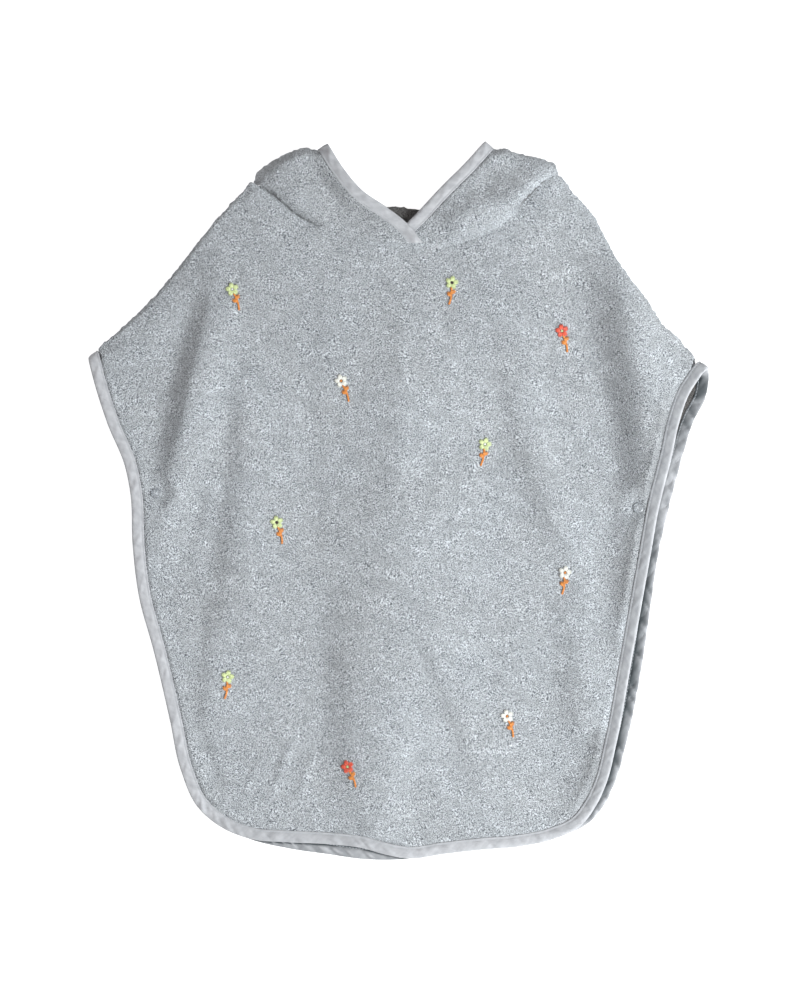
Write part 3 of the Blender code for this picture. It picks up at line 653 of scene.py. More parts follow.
@dataclass
class TerryPiece:
    """A cut piece of terry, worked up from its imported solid: finer, rounder, creased and looped."""

    name: str
    node: str
    shown_cell: float = 3.0
    rim_cell: float = 1.7
    hidden_cell: float = 12.0
    splits: int = 8
    rounding: int = 24
    edge_rounding: int = 3
    pile: float = 0.75
    tape_ridge: float = 0.5
    seam_valley: float = 1.5
    stud_dimple: float = 17.0
    creases: Sequence[Crease] = ()
    bound_lines: Sequence[Array] = ()
    binding_width: float = BINDING_WIDTH
    seams: Sequence[Array] = ()
    keep_lines: Sequence[Array] = ()
    studs: Sequence[str] = ()
    shows_underside: bool = False
    # Painted shade for each point, worked out from its place.
    shade: Callable[[Array], Array] | None = None
    reshape: Callable[[Array], Array] | None = None

    def refine(self, mesh: bmesh.types.BMesh) -> None:
        """Splits the solid's long edges until the shown side is fine enough, and its free rims finer still.

        Args:
            mesh: The piece's mesh.
        """
        for _ in range(self.splits):
            mesh.normal_update()
            cut, rims = [], []
            for edge in mesh.edges:
                up = max((face.normal.z for face in edge.link_faces), default=0.0)
                shown = up > -0.7 or self.shows_underside
                length = edge.calc_length()
                if length > (self.shown_cell if shown else self.hidden_cell):
                    cut.append(edge)
                elif length > self.rim_cell and -0.7 < up < 0.4:
                    rims.append(edge)
            if rims:
                middles = np.array([(edge.verts[0].co + edge.verts[1].co) / 2 for edge in rims], float)
                free = self.gaps_to(self.bound_lines, middles) > self.binding_width
                cut += [edge for edge, shows in zip(rims, free) if shows]
            if not cut:
                return
            bmesh.ops.subdivide_edges(mesh, edges=cut, cuts=1)
            wide = [face for face in mesh.faces if len(face.verts) > 3]
            bmesh.ops.triangulate(mesh, faces=wide)

    def gaps_to(self, lines: Sequence[Array], points: Array) -> Array:
        """Finds the distance in plan from each point to the nearest of several lines.

        Args:
            lines: The lines, or none.
            points: Places on the piece.

        Returns:
            The distances, far off where there is no line.
        """
        if not lines:
            return np.full(len(points), FAR)
        return np.min([distance_to(points, line)[0] for line in lines], axis=0)

    def stud_gaps(self, points: Array) -> Array:
        """Distance in plan from each point to the nearest press stud, which nips the cloth flat.

        Args:
            points: Places on the piece.

        Returns:
            The distances.
        """
        gaps = np.full(len(points), FAR)
        for node in self.studs:
            low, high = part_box(node)
            middle = (low + high) / 2 / MM
            gaps = np.minimum(gaps, np.hypot(points[:, 0] - middle.x, points[:, 1] - middle.y))
        return gaps

    def round_off(self, mesh: bmesh.types.BMesh) -> None:
        """Smooths the flat facets of the solid into one soft surface, and leaves its rolled edges.

        Args:
            mesh: The piece's mesh.
        """
        points = points_of(mesh)
        edge = self.gaps_to(self.bound_lines, points) - self.binding_width
        free = (edge > 2.5) & (self.gaps_to(self.keep_lines, points) > 9.0)
        free &= self.gaps_to(self.seams, points) > 4.0
        inner = [vert for vert, loose in zip(mesh.verts, free) if loose and vert.normal.z > 0.3]
        for _ in range(self.rounding):
            bmesh.ops.smooth_vert(
                mesh, verts=inner, factor=0.5, use_axis_x=False, use_axis_y=False, use_axis_z=True
            )
        outer = [vert for vert, gap in zip(mesh.verts, edge) if gap > 0.5]
        for _ in range(self.edge_rounding):
            bmesh.ops.smooth_vert(
                mesh, verts=outer, factor=0.5, use_axis_x=True, use_axis_y=True, use_axis_z=True
            )

    def add_folds(self, mesh: bmesh.types.BMesh) -> None:
        """Presses the creases and the seams' valleys into the upper side.

        Args:
            mesh: The piece's mesh.
        """
        mesh.normal_update()
        points = points_of(mesh)
        upper = np.array([max(vert.normal.z, 0.0) for vert in mesh.verts])
        rise = np.zeros(len(points))
        for crease in self.creases:
            rise += crease.heights(points)
        edge = self.gaps_to(self.bound_lines, points) - self.binding_width
        rise *= smoothstep(edge / 7.0)
        rise += self.tape_ridge * smoothstep((edge + 0.7) / 1.6) * (1.0 - smoothstep((edge - 3.0) / 9.0))
        rise *= smoothstep((self.stud_gaps(points) - 4.0) / self.stud_dimple)
        valley = 1.0 - smoothstep(self.gaps_to(self.seams, points) / 8.0)
        rise -= self.seam_valley * valley * seam_depth(points[:, 0])
        points[:, 2] += np.where(rise > 0.0, rise, rise * smoothstep(upper / 0.5))
        place_points(mesh, points)

    def add_pile(self, mesh: bmesh.types.BMesh) -> None:
        """Raises the loops of the pile in uneven clumps.

        Args:
            mesh: The piece's mesh.
        """
        mesh.normal_update()
        points = points_of(mesh)
        normals = np.array([vert.normal for vert in mesh.verts], float)
        edge = self.gaps_to(self.bound_lines, points) - self.binding_width
        raised = self.pile * smoothstep((edge + 0.4) / 1.6) * (2.6 - 2.25 * smoothstep(normals[:, 2] / 0.9))
        raised *= smoothstep((self.stud_gaps(points) - 4.2) / 1.5)
        lumps = 0.85 * grain(points, 2.6, 3.1) + 0.24 * grain(points, 7.5, 9.7)
        moved = points + normals * (raised * (lumps + 0.1))[:, None]
        resting = (normals[:, 2] < -0.3) & np.isclose(points[:, 2], 0.0, atol=0.5)
        moved[resting] = points[resting] + np.abs(moved[resting] - points[resting]) * (0.0, 0.0, 0.3)
        moved[:, 2] = np.maximum(moved[:, 2], 0.0)
        place_points(mesh, moved)

    def build(self, finish: bpy.types.Material) -> bpy.types.Object:
        """Makes the piece.

        Args:
            finish: The terry's material.

        Returns:
            The piece, which stands for its solid.
        """
        mesh = solid_mesh(self.node)
        self.refine(mesh)
        self.round_off(mesh)
        self.add_folds(mesh)
        if self.reshape:
            place_points(mesh, self.reshape(points_of(mesh)))
        self.add_pile(mesh)
        bmesh.ops.recalc_face_normals(mesh, faces=mesh.faces)
        points = points_of(mesh)
        shade = self.shade(points) if self.shade else np.zeros(len(points))
        made = cloth_object(self.name, mesh, finish)
        mark_shade(made, shade)
        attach(made, "root")
        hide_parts(self.node)
        return made


@dataclass
class TapeRun:
    """The way a folded tape runs: its fold's places, the way in to the cloth and the way out of its face."""

    places: Array
    sides: Array
    normals: Array
    closed: bool
    pucker: Array
    twist: Array

    def lengths(self) -> Array:
        """Length along the run at each place."""
        steps = np.linalg.norm(np.diff(self.places, axis=0), axis=1)
        return np.concatenate([[0.0], np.cumsum(steps)])


@dataclass
class BiasBinding:
    """A bias-cut strip folded over an edge and stitched down near its inner side."""

    name: str
    node: str
    run: TapeRun
    width: float = BINDING_WIDTH
    half: float = 2.0
    lower_end: float | None = None

    def profile(self) -> Array:
        """Draws the section of the folded tape, its upper half first.

        Returns:
            Distances in from the fold and heights from its middle, all round.
        """
        upper = (
            (1.6, 0.0),
            (1.6, 0.85),
            (5.0, 0.95),
            (self.width, 0.95),
            (self.width, 1.2),
            (self.width - 0.2, 1.56),
            (10.2, 1.66),
            (9.4, 1.22),
            (8.6, 1.64),
            (7.6, 1.86),
            (6.4, 1.96),
            (5.2, self.half),
            (3.9, self.half),
            (2.6, 1.97),
            (1.2, 1.8),
            (0.45, 1.35),
            (0.1, 0.7),
            (0.0, 0.0),
        )
        return np.array([*upper, *((depth, -height) for depth, height in upper[-2::-1])])

    def build(self, finish: bpy.types.Material) -> bpy.types.Object:
        """Carries the section along the run, with its puckers.

        Args:
            finish: The tape's material.

        Returns:
            The binding, which stands for its solid.
        """
        section = self.profile()
        girth = np.concatenate([[0.0], np.cumsum(np.linalg.norm(np.diff(section, axis=0), axis=1))])
        lengths = self.run.lengths()
        count, round_ = len(lengths), len(section)
        mesh = bmesh.new()
        uv = mesh.loops.layers.uv.new("UVMap")
        bmesh.ops.create_grid(mesh, x_segments=count - 1, y_segments=round_ - 1, size=0.5, calc_uvs=True)
        columns = [round((vert.co.x + 0.5) * (count - 1)) for vert in mesh.verts]
        rows = [round((vert.co.y + 0.5) * (round_ - 1)) for vert in mesh.verts]
        for face in mesh.faces:
            for loop in face.loops:
                column, row = columns[loop.vert.index], rows[loop.vert.index]
                loop[uv].uv = (lengths[column] * MM, girth[row] * MM)
        swept = self.sweep(section, lengths)
        for vert, column, row in zip(list(mesh.verts), columns, rows):
            vert.co = swept[column, row]
        bmesh.ops.remove_doubles(mesh, verts=mesh.verts, dist=0.005)
        if self.lower_end is not None:
            whole = mesh.verts[:] + mesh.edges[:] + mesh.faces[:]
            cut = {"plane_co": (0.0, self.lower_end, 0.0), "plane_no": (0.06, -1.0, 0.0)}
            bmesh.ops.bisect_plane(mesh, geom=whole, clear_outer=True, **cut)
        if not self.run.closed:
            rim = [edge for edge in mesh.edges if edge.is_boundary]
            bmesh.ops.holes_fill(mesh, edges=rim, sides=0)
        bmesh.ops.recalc_face_normals(mesh, faces=mesh.faces)
        points = points_of(mesh)
        made = cloth_object(self.name, mesh, finish)
        mark_shade(made, tape_shade(points))
        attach(made, "root")
        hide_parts(self.node)
        return made

    def sweep(self, section: Array, lengths: Array) -> Array:
        """Places of every point of the tape.

        Args:
            section: The folded section.
            lengths: Length along the run at each place.

        Returns:
            An array of places: run, section, xyz.
        """
        run = self.run
        depth, height = section[:, 0], section[:, 1]
        swept = (
            run.places[:, None, :]
            + run.sides[:, None, :] * depth[None, :, None]
            + run.normals[:, None, :] * height[None, :, None]
        )
        outside = smoothstep((np.abs(height) - 0.9) / 0.3) + (depth < 1.2)
        outside = np.clip(outside, 0.0, 1.0)
        face = np.sign(height)
        for number, length in enumerate(lengths):
            slant = length + depth * 1.15 * np.where(face == 0, 1, face)
            spots = [Vector((s / 8.5, d / 15.0, 1.7 + f)) for s, d, f in zip(slant, depth, face)]
            ripple = np.array([self.ripple(spot) for spot in spots])
            fold = np.array([self.fold(s, f) for s, f in zip(slant, face)])
            middle = np.sin(np.pi * np.clip(depth / 9.3, 0.0, 1.0))
            lift = run.pucker[number] * ripple * middle - run.twist[number] * fold * (0.25 + 0.75 * middle)
            swept[number] += run.normals[number][None] * (face * lift * outside)[:, None]
            drawn_in = 0.5 * run.twist[number] * fold * (depth < 2.0)
            swept[number] += run.sides[number][None] * drawn_in[:, None]
        if run.closed:
            swept[-1] = swept[0]
        swept[:, -1] = swept[:, 0]
        swept[..., 2] = np.maximum(swept[..., 2], 0.0)
        return swept

    def ripple(self, spot: Vector) -> float:
        """Height of the small puckers at a place on the tape, about 0."""
        return 2.0 * abs(noise.noise(spot)) - 0.3 + 0.5 * noise.noise(spot * 2.3)

    def fold(self, along: float, face: float) -> float:
        """Depth of the slanting folds of a twisted tape, from 0 to 1."""
        turn = along / 6.3 + 1.8 * noise.noise(Vector((along / 31.0, 4.4, face)))
        return 1.0 - abs(math.sin(turn)) ** 0.8


def beyond_front(points: Array) -> Array:
    """Finds how far outside the front's fold each point lies, in plan.

    Args:
        points: Places, in millimetres.

    Returns:
        The distances, negative inside the fold.
    """
    front = spline(EDGE, 20.0)
    gap, place = distance_to(points, front)
    step = np.minimum(place.astype(int), len(front) - 2)
    span = front[step + 1, :2] - front[step, :2]
    off = points[:, :2] - front[step, :2]
    outside = span[:, 0] * off[:, 1] - span[:, 1] * off[:, 0] < 0
    return np.where(outside, gap, -gap)


SIDE_OPENING: Rows = (
    # y: a place down the right side. deep: the painted shade under the front's edge. reach: how far out.
    (-285, 0.7, 4),
    (-258, 0.96, 8),
    (-205, 0.96, 10.5),
    (-147, 1.0, 11),
    (-92, 0.95, 9),
    (-40, 0.78, 8),
    (0, 0.3, 6),
    (30, 0.25, 6),
    (64, 0.84, 16),
    (90, 0.96, 20),
    (112, 1.0, 24),
)


def tape_shade(points: Array) -> Array:
    """Works out the painted shade of a binding: in the side opening, under the hem and faintly on the upper
    face.

    Args:
        points: Places on the tape, in millimetres.

    Returns:
        A shade for each place, from 0 to 1.
    """
    beyond = beyond_front(points)
    x, y, z = points.T
    # Slanting painted shadows of the tape's puckers.
    across = x * 0.75 + y * 0.66
    uneven = np.array([noise.noise(Vector((a / 23.0, b / 40.0, 0.3))) for a, b in zip(across, beyond)])
    turn = across / 17.0 + 0.9 * uneven
    turn -= np.floor(turn)
    stripe = smoothstep(turn / 0.22) * (1.0 - turn) ** 0.8
    # Painted shade under the front's raised edge, in the right side's opening.
    rows = np.array(SIDE_OPENING, float).T
    deepest, reach = (np.interp(y, rows[0], column) for column in rows[1:])
    filled = 1.0 - smoothstep((beyond - 0.4 * reach) / (0.8 * reach))
    right = smoothstep((x - 158.0) / 20.0) * (1.0 - smoothstep((y - 112.0) / 6.0))
    right *= smoothstep((7.0 - z) / 1.2) * smoothstep(z / 0.8)
    striped = 1.0 - 0.42 * (1.0 - stripe) * smoothstep((beyond - 1.0) / 4.0)
    deep = deepest * filled * striped + 0.55 * stripe * (1.0 - filled)
    # Painted shade on the back's tape under the hem at the left.
    hem = smoothstep((-296.0 - y) / 10.0) * (1.0 - smoothstep((x - 10.0) / 30.0))
    hem *= smoothstep((5.6 - z) / 1.4) * smoothstep((z - 0.6) / 0.8)
    hem *= np.maximum(1.0 - smoothstep((beyond - 0.8) / 2.6), 0.25 + 0.3 * stripe)
    # Faint painted shade on the front's tape: inside its fold at the right, along the hem's left and at the
    # hood's left.
    inside = smoothstep((-beyond - 1.4) / 1.6)
    upper = 0.33 * inside * smoothstep((x - 110.0) / 90.0)
    upper += 0.12 * smoothstep((-285.0 - y) / 15.0) * (1.0 - smoothstep((x + 40.0) / 60.0))
    upper += 0.07 * smoothstep((y - 225.0) / 10.0) * (1.0 - smoothstep((x - 4.0) / 16.0))
    upper *= smoothstep((z - 5.6) / 1.0)
    return np.clip(np.maximum(np.maximum(right * deep, hem), upper), 0.0, 1.0)


class Face(Enum):
    """The face of a folded tape, as the sign of its height."""

    OUTER = 1.0
    INNER = -1.0


@dataclass
class BodyEdge:
    """The one edge that goes round both panels, over either sleeve tip."""

    step: float = 1.9
    back_height: float = 2.0
    loop_steps: int = 14
    left_reach: tuple[float, float] = (-0.33, 1.05)
    left_shoulder: tuple[float, float] = (0.76, 0.65)
    right_reach: tuple[float, float] = (0.5, 1.3)
    right_shoulder: tuple[float, float] = (-0.79, 0.62)

    def front(self) -> Array:
        """The front's fold: x, y and the height of its middle."""
        return spline(EDGE, self.step)[:, [0, 1, 4]]

    def back(self) -> Array:
        """Moves the front's fold out to the back's.

        Returns:
            The back's fold: x, y and the height of its middle.
        """
        rows = spline(EDGE, self.step)
        height = np.full(len(rows), self.back_height)
        return np.column_stack([rows[:, :2] + rows[:, 2:4], height])

    def loop(
        self,
        start: Array,
        end: Array,
        reach: Sequence[float],
        sides: Sequence[Array],
        shoulder: Sequence[float],
    ) -> tuple[Array, Array]:
        """Turns the tape over a sleeve tip.

        Args:
            start: Last place of the run that comes in.
            end: First place of the run that goes out.
            reach: The way the loop stands out in plan.
            sides: The way in to the cloth at the start and at the end.
            shoulder: The shoulder fold's way in.

        Returns:
            The loop's places and the way in to the cloth at each.
        """
        radius = abs(start[2] - end[2]) / 2
        share = (np.arange(1, self.loop_steps + 1) / (self.loop_steps + 1))[:, None]
        turn = np.pi * share
        down = 1.0 if start[2] > end[2] else -1.0
        plan = start[:2] * (1 - share) + end[:2] * share + np.array(reach) * radius * np.sin(turn)
        height = (start[2] + end[2]) / 2 + down * radius * np.cos(turn)
        turned = np.sin(turn) ** 2
        side = (sides[0] * (1 - share) + sides[1] * share) * (1 - turned) + np.array(shoulder) * turned
        return np.hstack([plan, height]), np.hstack([side, np.zeros((len(side), 1))])

    def run(self) -> TapeRun:
        """The whole closed run of the body's tape.

        Returns:
            Front, right tip, back and left tip in turn.
        """
        front, back = self.front(), self.back()[::-1]
        flat = np.zeros((len(front), 1))
        front_sides = np.hstack([inward(front), flat])
        back_sides = np.hstack([inward(back[::-1]), flat])[::-1]
        ways = (front_sides[-1, :2], back_sides[0, :2])
        right, right_sides = self.loop(front[-1], back[0], self.right_reach, ways, self.right_shoulder)
        ways = (back_sides[-1, :2], front_sides[0, :2])
        left, left_sides = self.loop(back[-1], front[0], self.left_reach, ways, self.left_shoulder)
        places = np.vstack([front, right, back, left])
        sides = np.vstack([front_sides, right_sides, back_sides, left_sides])
        along = np.roll(places, -1, axis=0) - np.roll(places, 1, axis=0)
        along /= np.linalg.norm(along, axis=1)[:, None]
        sides /= np.linalg.norm(sides, axis=1)[:, None]
        normals = np.cross(along, sides)
        normals /= np.linalg.norm(normals, axis=1)[:, None]
        count = len(front)
        normals[:count] = (0.0, 0.0, 1.0)
        second = count + self.loop_steps
        normals[second : second + count] = (0.0, 0.0, -1.0)
        pucker = 0.8 + 0.9 * smoothstep((-250.0 - places[:, 1]) / 50.0)
        twist = np.zeros(len(places))
        right_side = smoothstep((back[:, 0] - 140.0) / 60.0) * smoothstep((110.0 - back[:, 1]) / 20.0)
        twist[second : second + count] = 0.15 + 1.3 * right_side
        twist[count:second] = 0.5
        places, sides, normals = (np.vstack([rows, rows[:1]]) for rows in (places, sides, normals))
        return TapeRun(places, sides, normals, True, np.append(pucker, pucker[0]), np.append(twist, twist[0]))


@dataclass
class HoodEdge:
    """The edge of one half of the hood's opening, read off its solid."""

    node: str
    rows: Rows
    turn: float
    step: float = 2.4
    half: float = 2.0

    def run(self) -> TapeRun:
        """The run of the tape up one side of the opening.

        Returns:
            Places, sides and normals from the neck up to the roll.
        """
        mesh = solid_mesh(self.node)
        top = SolidTop(mesh)
        line = spline(self.rows, self.step)
        plan_side = inward(line) * self.turn
        near, far = [], []
        for place, side in zip(line, plan_side):
            near.append(top.height(*(place[:2] + side * 2.6), math.nan))
            far.append(top.height(*(place[:2] + side * 9.0), math.nan))
        mesh.free()
        near, far = np.array(near), np.array(far)
        known = ~np.isnan(near) & ~np.isnan(far)
        last = len(known) - int(np.argmax(known[::-1]))
        line, plan_side, near, far = (rows[:last] for rows in (line, plan_side, near, far))
        places_in = np.arange(len(line))
        for values in (near, far):
            lost = np.isnan(values)
            values[lost] = np.interp(places_in[lost], places_in[~lost], values[~lost])
        kernel = np.array([1, 2, 3, 2, 1]) / 9
        near, far = (np.convolve(np.pad(values, 2, mode="edge"), kernel, "valid") for values in (near, far))
        slope = (far - near) / 6.4
        sides = np.column_stack([plan_side, slope])
        sides /= np.linalg.norm(sides, axis=1)[:, None]
        height = near - slope * 2.6 - self.half
        places = np.column_stack([line[:, :2], height])
        along = np.gradient(places, axis=0)
        along /= np.linalg.norm(along, axis=1)[:, None]
        normals = np.cross(along, sides)
        normals /= np.linalg.norm(normals, axis=1)[:, None]
        normals *= np.sign(np.median(normals[:, 2]))
        count = len(places)
        return TapeRun(places, sides, normals, False, np.full(count, 0.9), np.zeros(count))


@dataclass
class StitchLine:
    """A row of sewn stitches along a run of tape."""

    name: str
    run: TapeRun
    depth: float = 9.4
    height: float = 1.3
    pitch: float = 3.0
    thread: float = 0.24

    def build(self, finish: bpy.types.Material) -> bpy.types.Object:
        """Lays one thread for each stitch.

        Args:
            finish: The thread's material.

        Returns:
            The stitches, as one piece.
        """
        threads = ThreadBundle()
        for face in Face:
            seam = self.run.places + self.run.sides * self.depth + self.run.normals * self.height * face.value
            steps = np.linalg.norm(np.diff(seam, axis=0), axis=1)
            at = np.concatenate([[0.0], np.cumsum(steps)])
            for middle in np.arange(self.pitch, at[-1] - self.pitch, self.pitch):
                ends = [
                    Vector([np.interp(middle + reach, at, seam[:, axis]) for axis in range(3)])
                    for reach in (-0.42 * self.pitch, 0.42 * self.pitch)
                ]
                threads.add(ends[0], ends[1], self.thread)
        made = cloth_object(self.name, threads.gathered(), finish)
        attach(made, "root")
        return made


class ThreadBundle:
    """Many short laid threads, added by the handful so that each joins a small mesh."""

    handful = 32

    def __init__(self) -> None:
        """Starts with none."""
        self.whole = bmesh.new()
        self.hand = bmesh.new()
        self.count = 0

    def add(self, start: Vector, end: Vector, radius: float, slot: int = 0) -> None:
        """Adds one thread.

        Args:
            start: One end, in millimetres.
            end: The other end.
            radius: The thread's radius.
            slot: The material's place on the object.
        """
        along = end - start
        turn = along.to_track_quat("Z", "Y").to_matrix().to_4x4()
        size = Matrix.Diagonal((radius, 0.7 * radius, along.length / 2 + radius * 0.4, 1.0))
        place = Matrix.Translation((start + end) / 2) @ turn @ size
        made = bmesh.ops.create_uvsphere(self.hand, u_segments=6, v_segments=4, radius=1.0, matrix=place)
        for face in {face for vert in made["verts"] for face in vert.link_faces}:
            face.material_index = slot
        self.count += 1
        if self.count % self.handful == 0:
            self.lay()

    def lay(self) -> None:
        """Puts the threads in hand with the others."""
        data = bpy.data.meshes.new("handful")
        self.hand.to_mesh(data)
        self.whole.from_mesh(data)
        bpy.data.meshes.remove(data)
        self.hand.clear()

    def gathered(self) -> bmesh.types.BMesh:
        """Closes the bundle.

        Returns:
            All the threads as one mesh, in millimetres.
        """
        self.lay()
        self.hand.free()
        return self.whole


@dataclass
class NeckSeam:
    """The pile that closes over the seam between the front and the hood, with its valley by the shoulders."""

    name: str
    rows: Rows
    width: float = 15.0
    sunk: float = 0.5
    cover: float = 0.12
    valley: float = 2.6
    rows_across: int = 13
    softening: int = 6

    def levels(self, line: Array, sides: Array, ground: SolidTop) -> tuple[Array, Array]:
        """Places and heights of a grid over the seam, with the step between front and hood filled softly.

        Args:
            line: The seam's places.
            sides: The way to the hood at each.
            ground: The surface of the front and the hood.

        Returns:
            Places in plan and heights: along the seam, across it.
        """
        shares = np.linspace(-1.0, 1.0, self.rows_across)
        flat = line[:, None, :2] + sides[:, None] * shares[None, :, None] * self.width / 2
        found = np.array([[ground.height(*spot, math.nan) for spot in row] for row in flat])
        numbers = np.arange(len(line))
        for column in found.T:
            lost = np.isnan(column)
            column[lost] = np.interp(numbers[lost], numbers[~lost], column[~lost])
        soft = found
        for _ in range(self.softening):
            wide = np.pad(soft, 1, mode="edge")
            beside = wide[:-2, 1:-1] + wide[2:, 1:-1] + wide[1:-1, :-2] + wide[1:-1, 2:]
            soft = (beside + 4.0 * wide[1:-1, 1:-1]) / 8.0
        covered = smoothstep((1.0 - np.abs(shares)) / 0.3)
        height = (found - self.sunk) * (1.0 - covered) + np.maximum(found + self.cover, soft) * covered
        dip = self.valley * (seam_depth(line[:, 0]) - 0.08)
        return flat, height - dip[:, None] * (1.0 - shares * shares)

    def build(self, finish: bpy.types.Material, ground: SolidTop) -> bpy.types.Object:
        """Lays a soft strip over the seam.

        Args:
            finish: The terry's material.
            ground: The surface of the front and the hood.

        Returns:
            The strip.
        """
        line = spline(self.rows, 2.2)
        flat, height = self.levels(line, inward(line), ground)
        mesh = bmesh.new()
        bmesh.ops.create_grid(mesh, x_segments=len(line) - 1, y_segments=self.rows_across - 1, size=0.5)
        for vert in list(mesh.verts):
            column = round((vert.co.x + 0.5) * (len(line) - 1))
            row = round((vert.co.y + 0.5) * (self.rows_across - 1))
            vert.co = (*flat[column, row], height[column, row])
        bmesh.ops.recalc_face_normals(mesh, faces=mesh.faces)
        bmesh.ops.solidify(mesh, geom=mesh.faces[:], thickness=1.2)
        bmesh.ops.recalc_face_normals(mesh, faces=mesh.faces)
        points = points_of(mesh)
        # Painted shade along the seam's valley, darker on the right.
        close = np.exp(-((distance_to(points, line)[0] / 2.6) ** 2))
        close *= np.where(points[:, 0] > 0.0, 0.85, 0.28)
        made = cloth_object(self.name, mesh, finish)
        mark_shade(made, (0.2 + close) * (seam_depth(points[:, 0]) - 0.08))
        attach(made, "root")
        return made


class StudHalf(Enum):
    """Turned profiles of a closed press stud's halves: radius and height, from the axis round to the axis."""

    SOCKET = (
        (0.0, 12.2),
        (0.6, 12.25),
        (1.1, 12.48),
        (2.6, 12.4),
        (3.8, 12.15),
        (4.6, 11.85),
        (5.0, 11.5),
        (4.9, 11.28),
        (4.5, 11.2),
        (1.4, 11.2),
        (1.4, 8.4),
        (4.2, 8.4),
        (4.4, 8.2),
        (4.4, 6.3),
        (2.2, 6.3),
        (2.2, 7.6),
        (0.0, 7.6),
    )
    BALL = (
        (0.0, 7.3),
        (1.1, 7.3),
        (1.6, 7.15),
        (1.9, 6.6),
        (1.7, 6.0),
        (4.2, 6.0),
        (4.4, 5.8),
        (4.4, 4.8),
        (1.4, 4.8),
        (1.4, 1.2),
        (4.5, 1.2),
        (4.9, 1.1),
        (5.0, 0.8),
        (4.2, 0.25),
        (3.0, 0.2),
        (0.0, 0.2),
    )


@dataclass
class PressStud:
    """Half of a clear press stud, turned about its post."""

    name: str
    node: str
    half: StudHalf
    steps: int = 40

    def build(self, finish: bpy.types.Material) -> bpy.types.Object:
        """Turns the half's profile about its solid's axis.

        Args:
            finish: The plastic.

        Returns:
            The stud half, which stands for its solid.
        """
        low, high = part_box(self.node)
        middle = (low + high) / 2 / MM
        mesh = bmesh.new()
        spots = [mesh.verts.new((middle.x + radius, middle.y, height)) for radius, height in self.half.value]
        for one, other in zip(spots, spots[1:]):
            mesh.edges.new((one, other))
        bmesh.ops.spin(
            mesh,
            geom=mesh.verts[:] + mesh.edges[:],
            cent=(middle.x, middle.y, 0.0),
            axis=(0.0, 0.0, 1.0),
            angle=2 * math.pi,
            steps=self.steps,
            use_merge=True,
        )
        bmesh.ops.remove_doubles(mesh, verts=mesh.verts, dist=0.001)
        bmesh.ops.recalc_face_normals(mesh, faces=mesh.faces)
        made = cloth_object(self.name, mesh, finish)
        made.data.set_sharp_from_angle(angle=math.radians(38))
        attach(made, "root")
        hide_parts(self.node)
        return made


class Bloom(Enum):
    """Colourways of the embroidered flowers: the petals' thread and the middle's, as material places."""

    WHITE = (0, 4)
    LIME = (1, 0)
    CORAL = (2, 1)
    BROWN = (1, 3)


@dataclass(frozen=True)
class Sprig:
    """One embroidered flower on a curved stem."""

    x: float
    y: float
    turn: float
    bloom: Bloom
    scale: float = 1.15


@dataclass
class Embroidery:
    """The scattered flowers, in satin stitch laid over the pile."""

    name: str
    sprigs: Sequence[Sprig]
    thread: float = 0.56
    stem_slot: int = 4
    lift: float = 0.55
    petals: int = 5
    petal_length: float = 5.6
    bloom_height: float = 6.5
    stem_length: float = 14.0
    stem_joints: int = 6

    def rows(self, bloom: Bloom) -> list[tuple[float, float, float, float, float, int]]:
        """The threads of one flower: two ends in plan, a height at its middle and the thread's colour.

        Args:
            bloom: The colourway.

        Returns:
            One row for each thread: x0, y0, x1, y1, height, slot.
        """
        petal, middle = bloom.value
        made = []
        top = self.bloom_height
        for number in range(self.petals):
            way = math.radians(90.0 + 360.0 * number / self.petals)
            for lean, reach in ((-0.42, 0.76), (-0.22, 0.95), (0.0, 1.0), (0.22, 0.95), (0.42, 0.76)):
                inner = (1.3 * math.cos(way + lean), top + 1.3 * math.sin(way + lean))
                length = self.petal_length * reach
                outer = (length * math.cos(way + lean), top + length * math.sin(way + lean))
                made.append((*inner, *outer, 0.8, petal))
        for lean in (0.0, 1.05, 2.1):
            x, y = 0.9 * math.cos(lean), 0.9 * math.sin(lean)
            made.append((-x, top - y, x, top + y, 1.9, middle))
        for number in range(self.stem_joints):
            ends = []
            for share in (number / self.stem_joints, (number + 1.1) / self.stem_joints):
                ends.append((1.5 * math.sin(2.4 * share), top - 3.4 - self.stem_length * share))
            made.append((*ends[0], *ends[1], 0.4, self.stem_slot))
            made.append((ends[0][0] + 0.7, ends[0][1], ends[1][0] + 0.7, ends[1][1], 0.2, self.stem_slot))
        for side, low in ((-1.0, -4.6), (1.0, -2.2)):
            for spread, length in ((0.3, 3.6), (0.6, 4.6), (0.9, 4.6), (1.2, 3.4)):
                tip = (1.2 + side * length * math.sin(spread), low + length * math.cos(spread))
                made.append((1.2, low, *tip, 0.3, self.stem_slot))
        return made

    def build(self, finishes: Sequence[bpy.types.Material], top: SolidTop) -> bpy.types.Object:
        """Stitches every flower on to the front.

        Args:
            finishes: White, lime, coral, brown and orange thread.
            top: The front's surface.

        Returns:
            The embroidery, as one piece.
        """
        threads = ThreadBundle()
        for sprig in self.sprigs:
            normal = top.normal(sprig.x, sprig.y)
            normal = (normal + Vector((0.0, 0.0, 2.0))).normalized()
            base = Vector((sprig.x, sprig.y, top.height(sprig.x, sprig.y, 8.0)))
            tilt = Vector((0.0, 0.0, 1.0)).rotation_difference(normal).to_matrix()
            spin = Matrix.Rotation(math.radians(sprig.turn), 3, "Z")
            for x0, y0, x1, y1, height, slot in self.rows(sprig.bloom):
                ends = []
                for x, y in ((x0, y0), (x1, y1)):
                    flat = tilt @ spin @ (Vector((x, y, 0.0)) * sprig.scale)
                    spot = base + flat
                    ground = top.height(spot.x, spot.y, spot.z)
                    spot.z = 0.3 * spot.z + 0.7 * ground + self.lift + 0.35 * height
                    ends.append(spot)
                threads.add(ends[0], ends[1], self.thread * sprig.scale, slot)
        made = cloth_object(self.name, threads.gathered(), finishes[0])
        for finish in finishes[1:]:
            made.data.materials.append(finish)
        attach(made, "root")
        return made


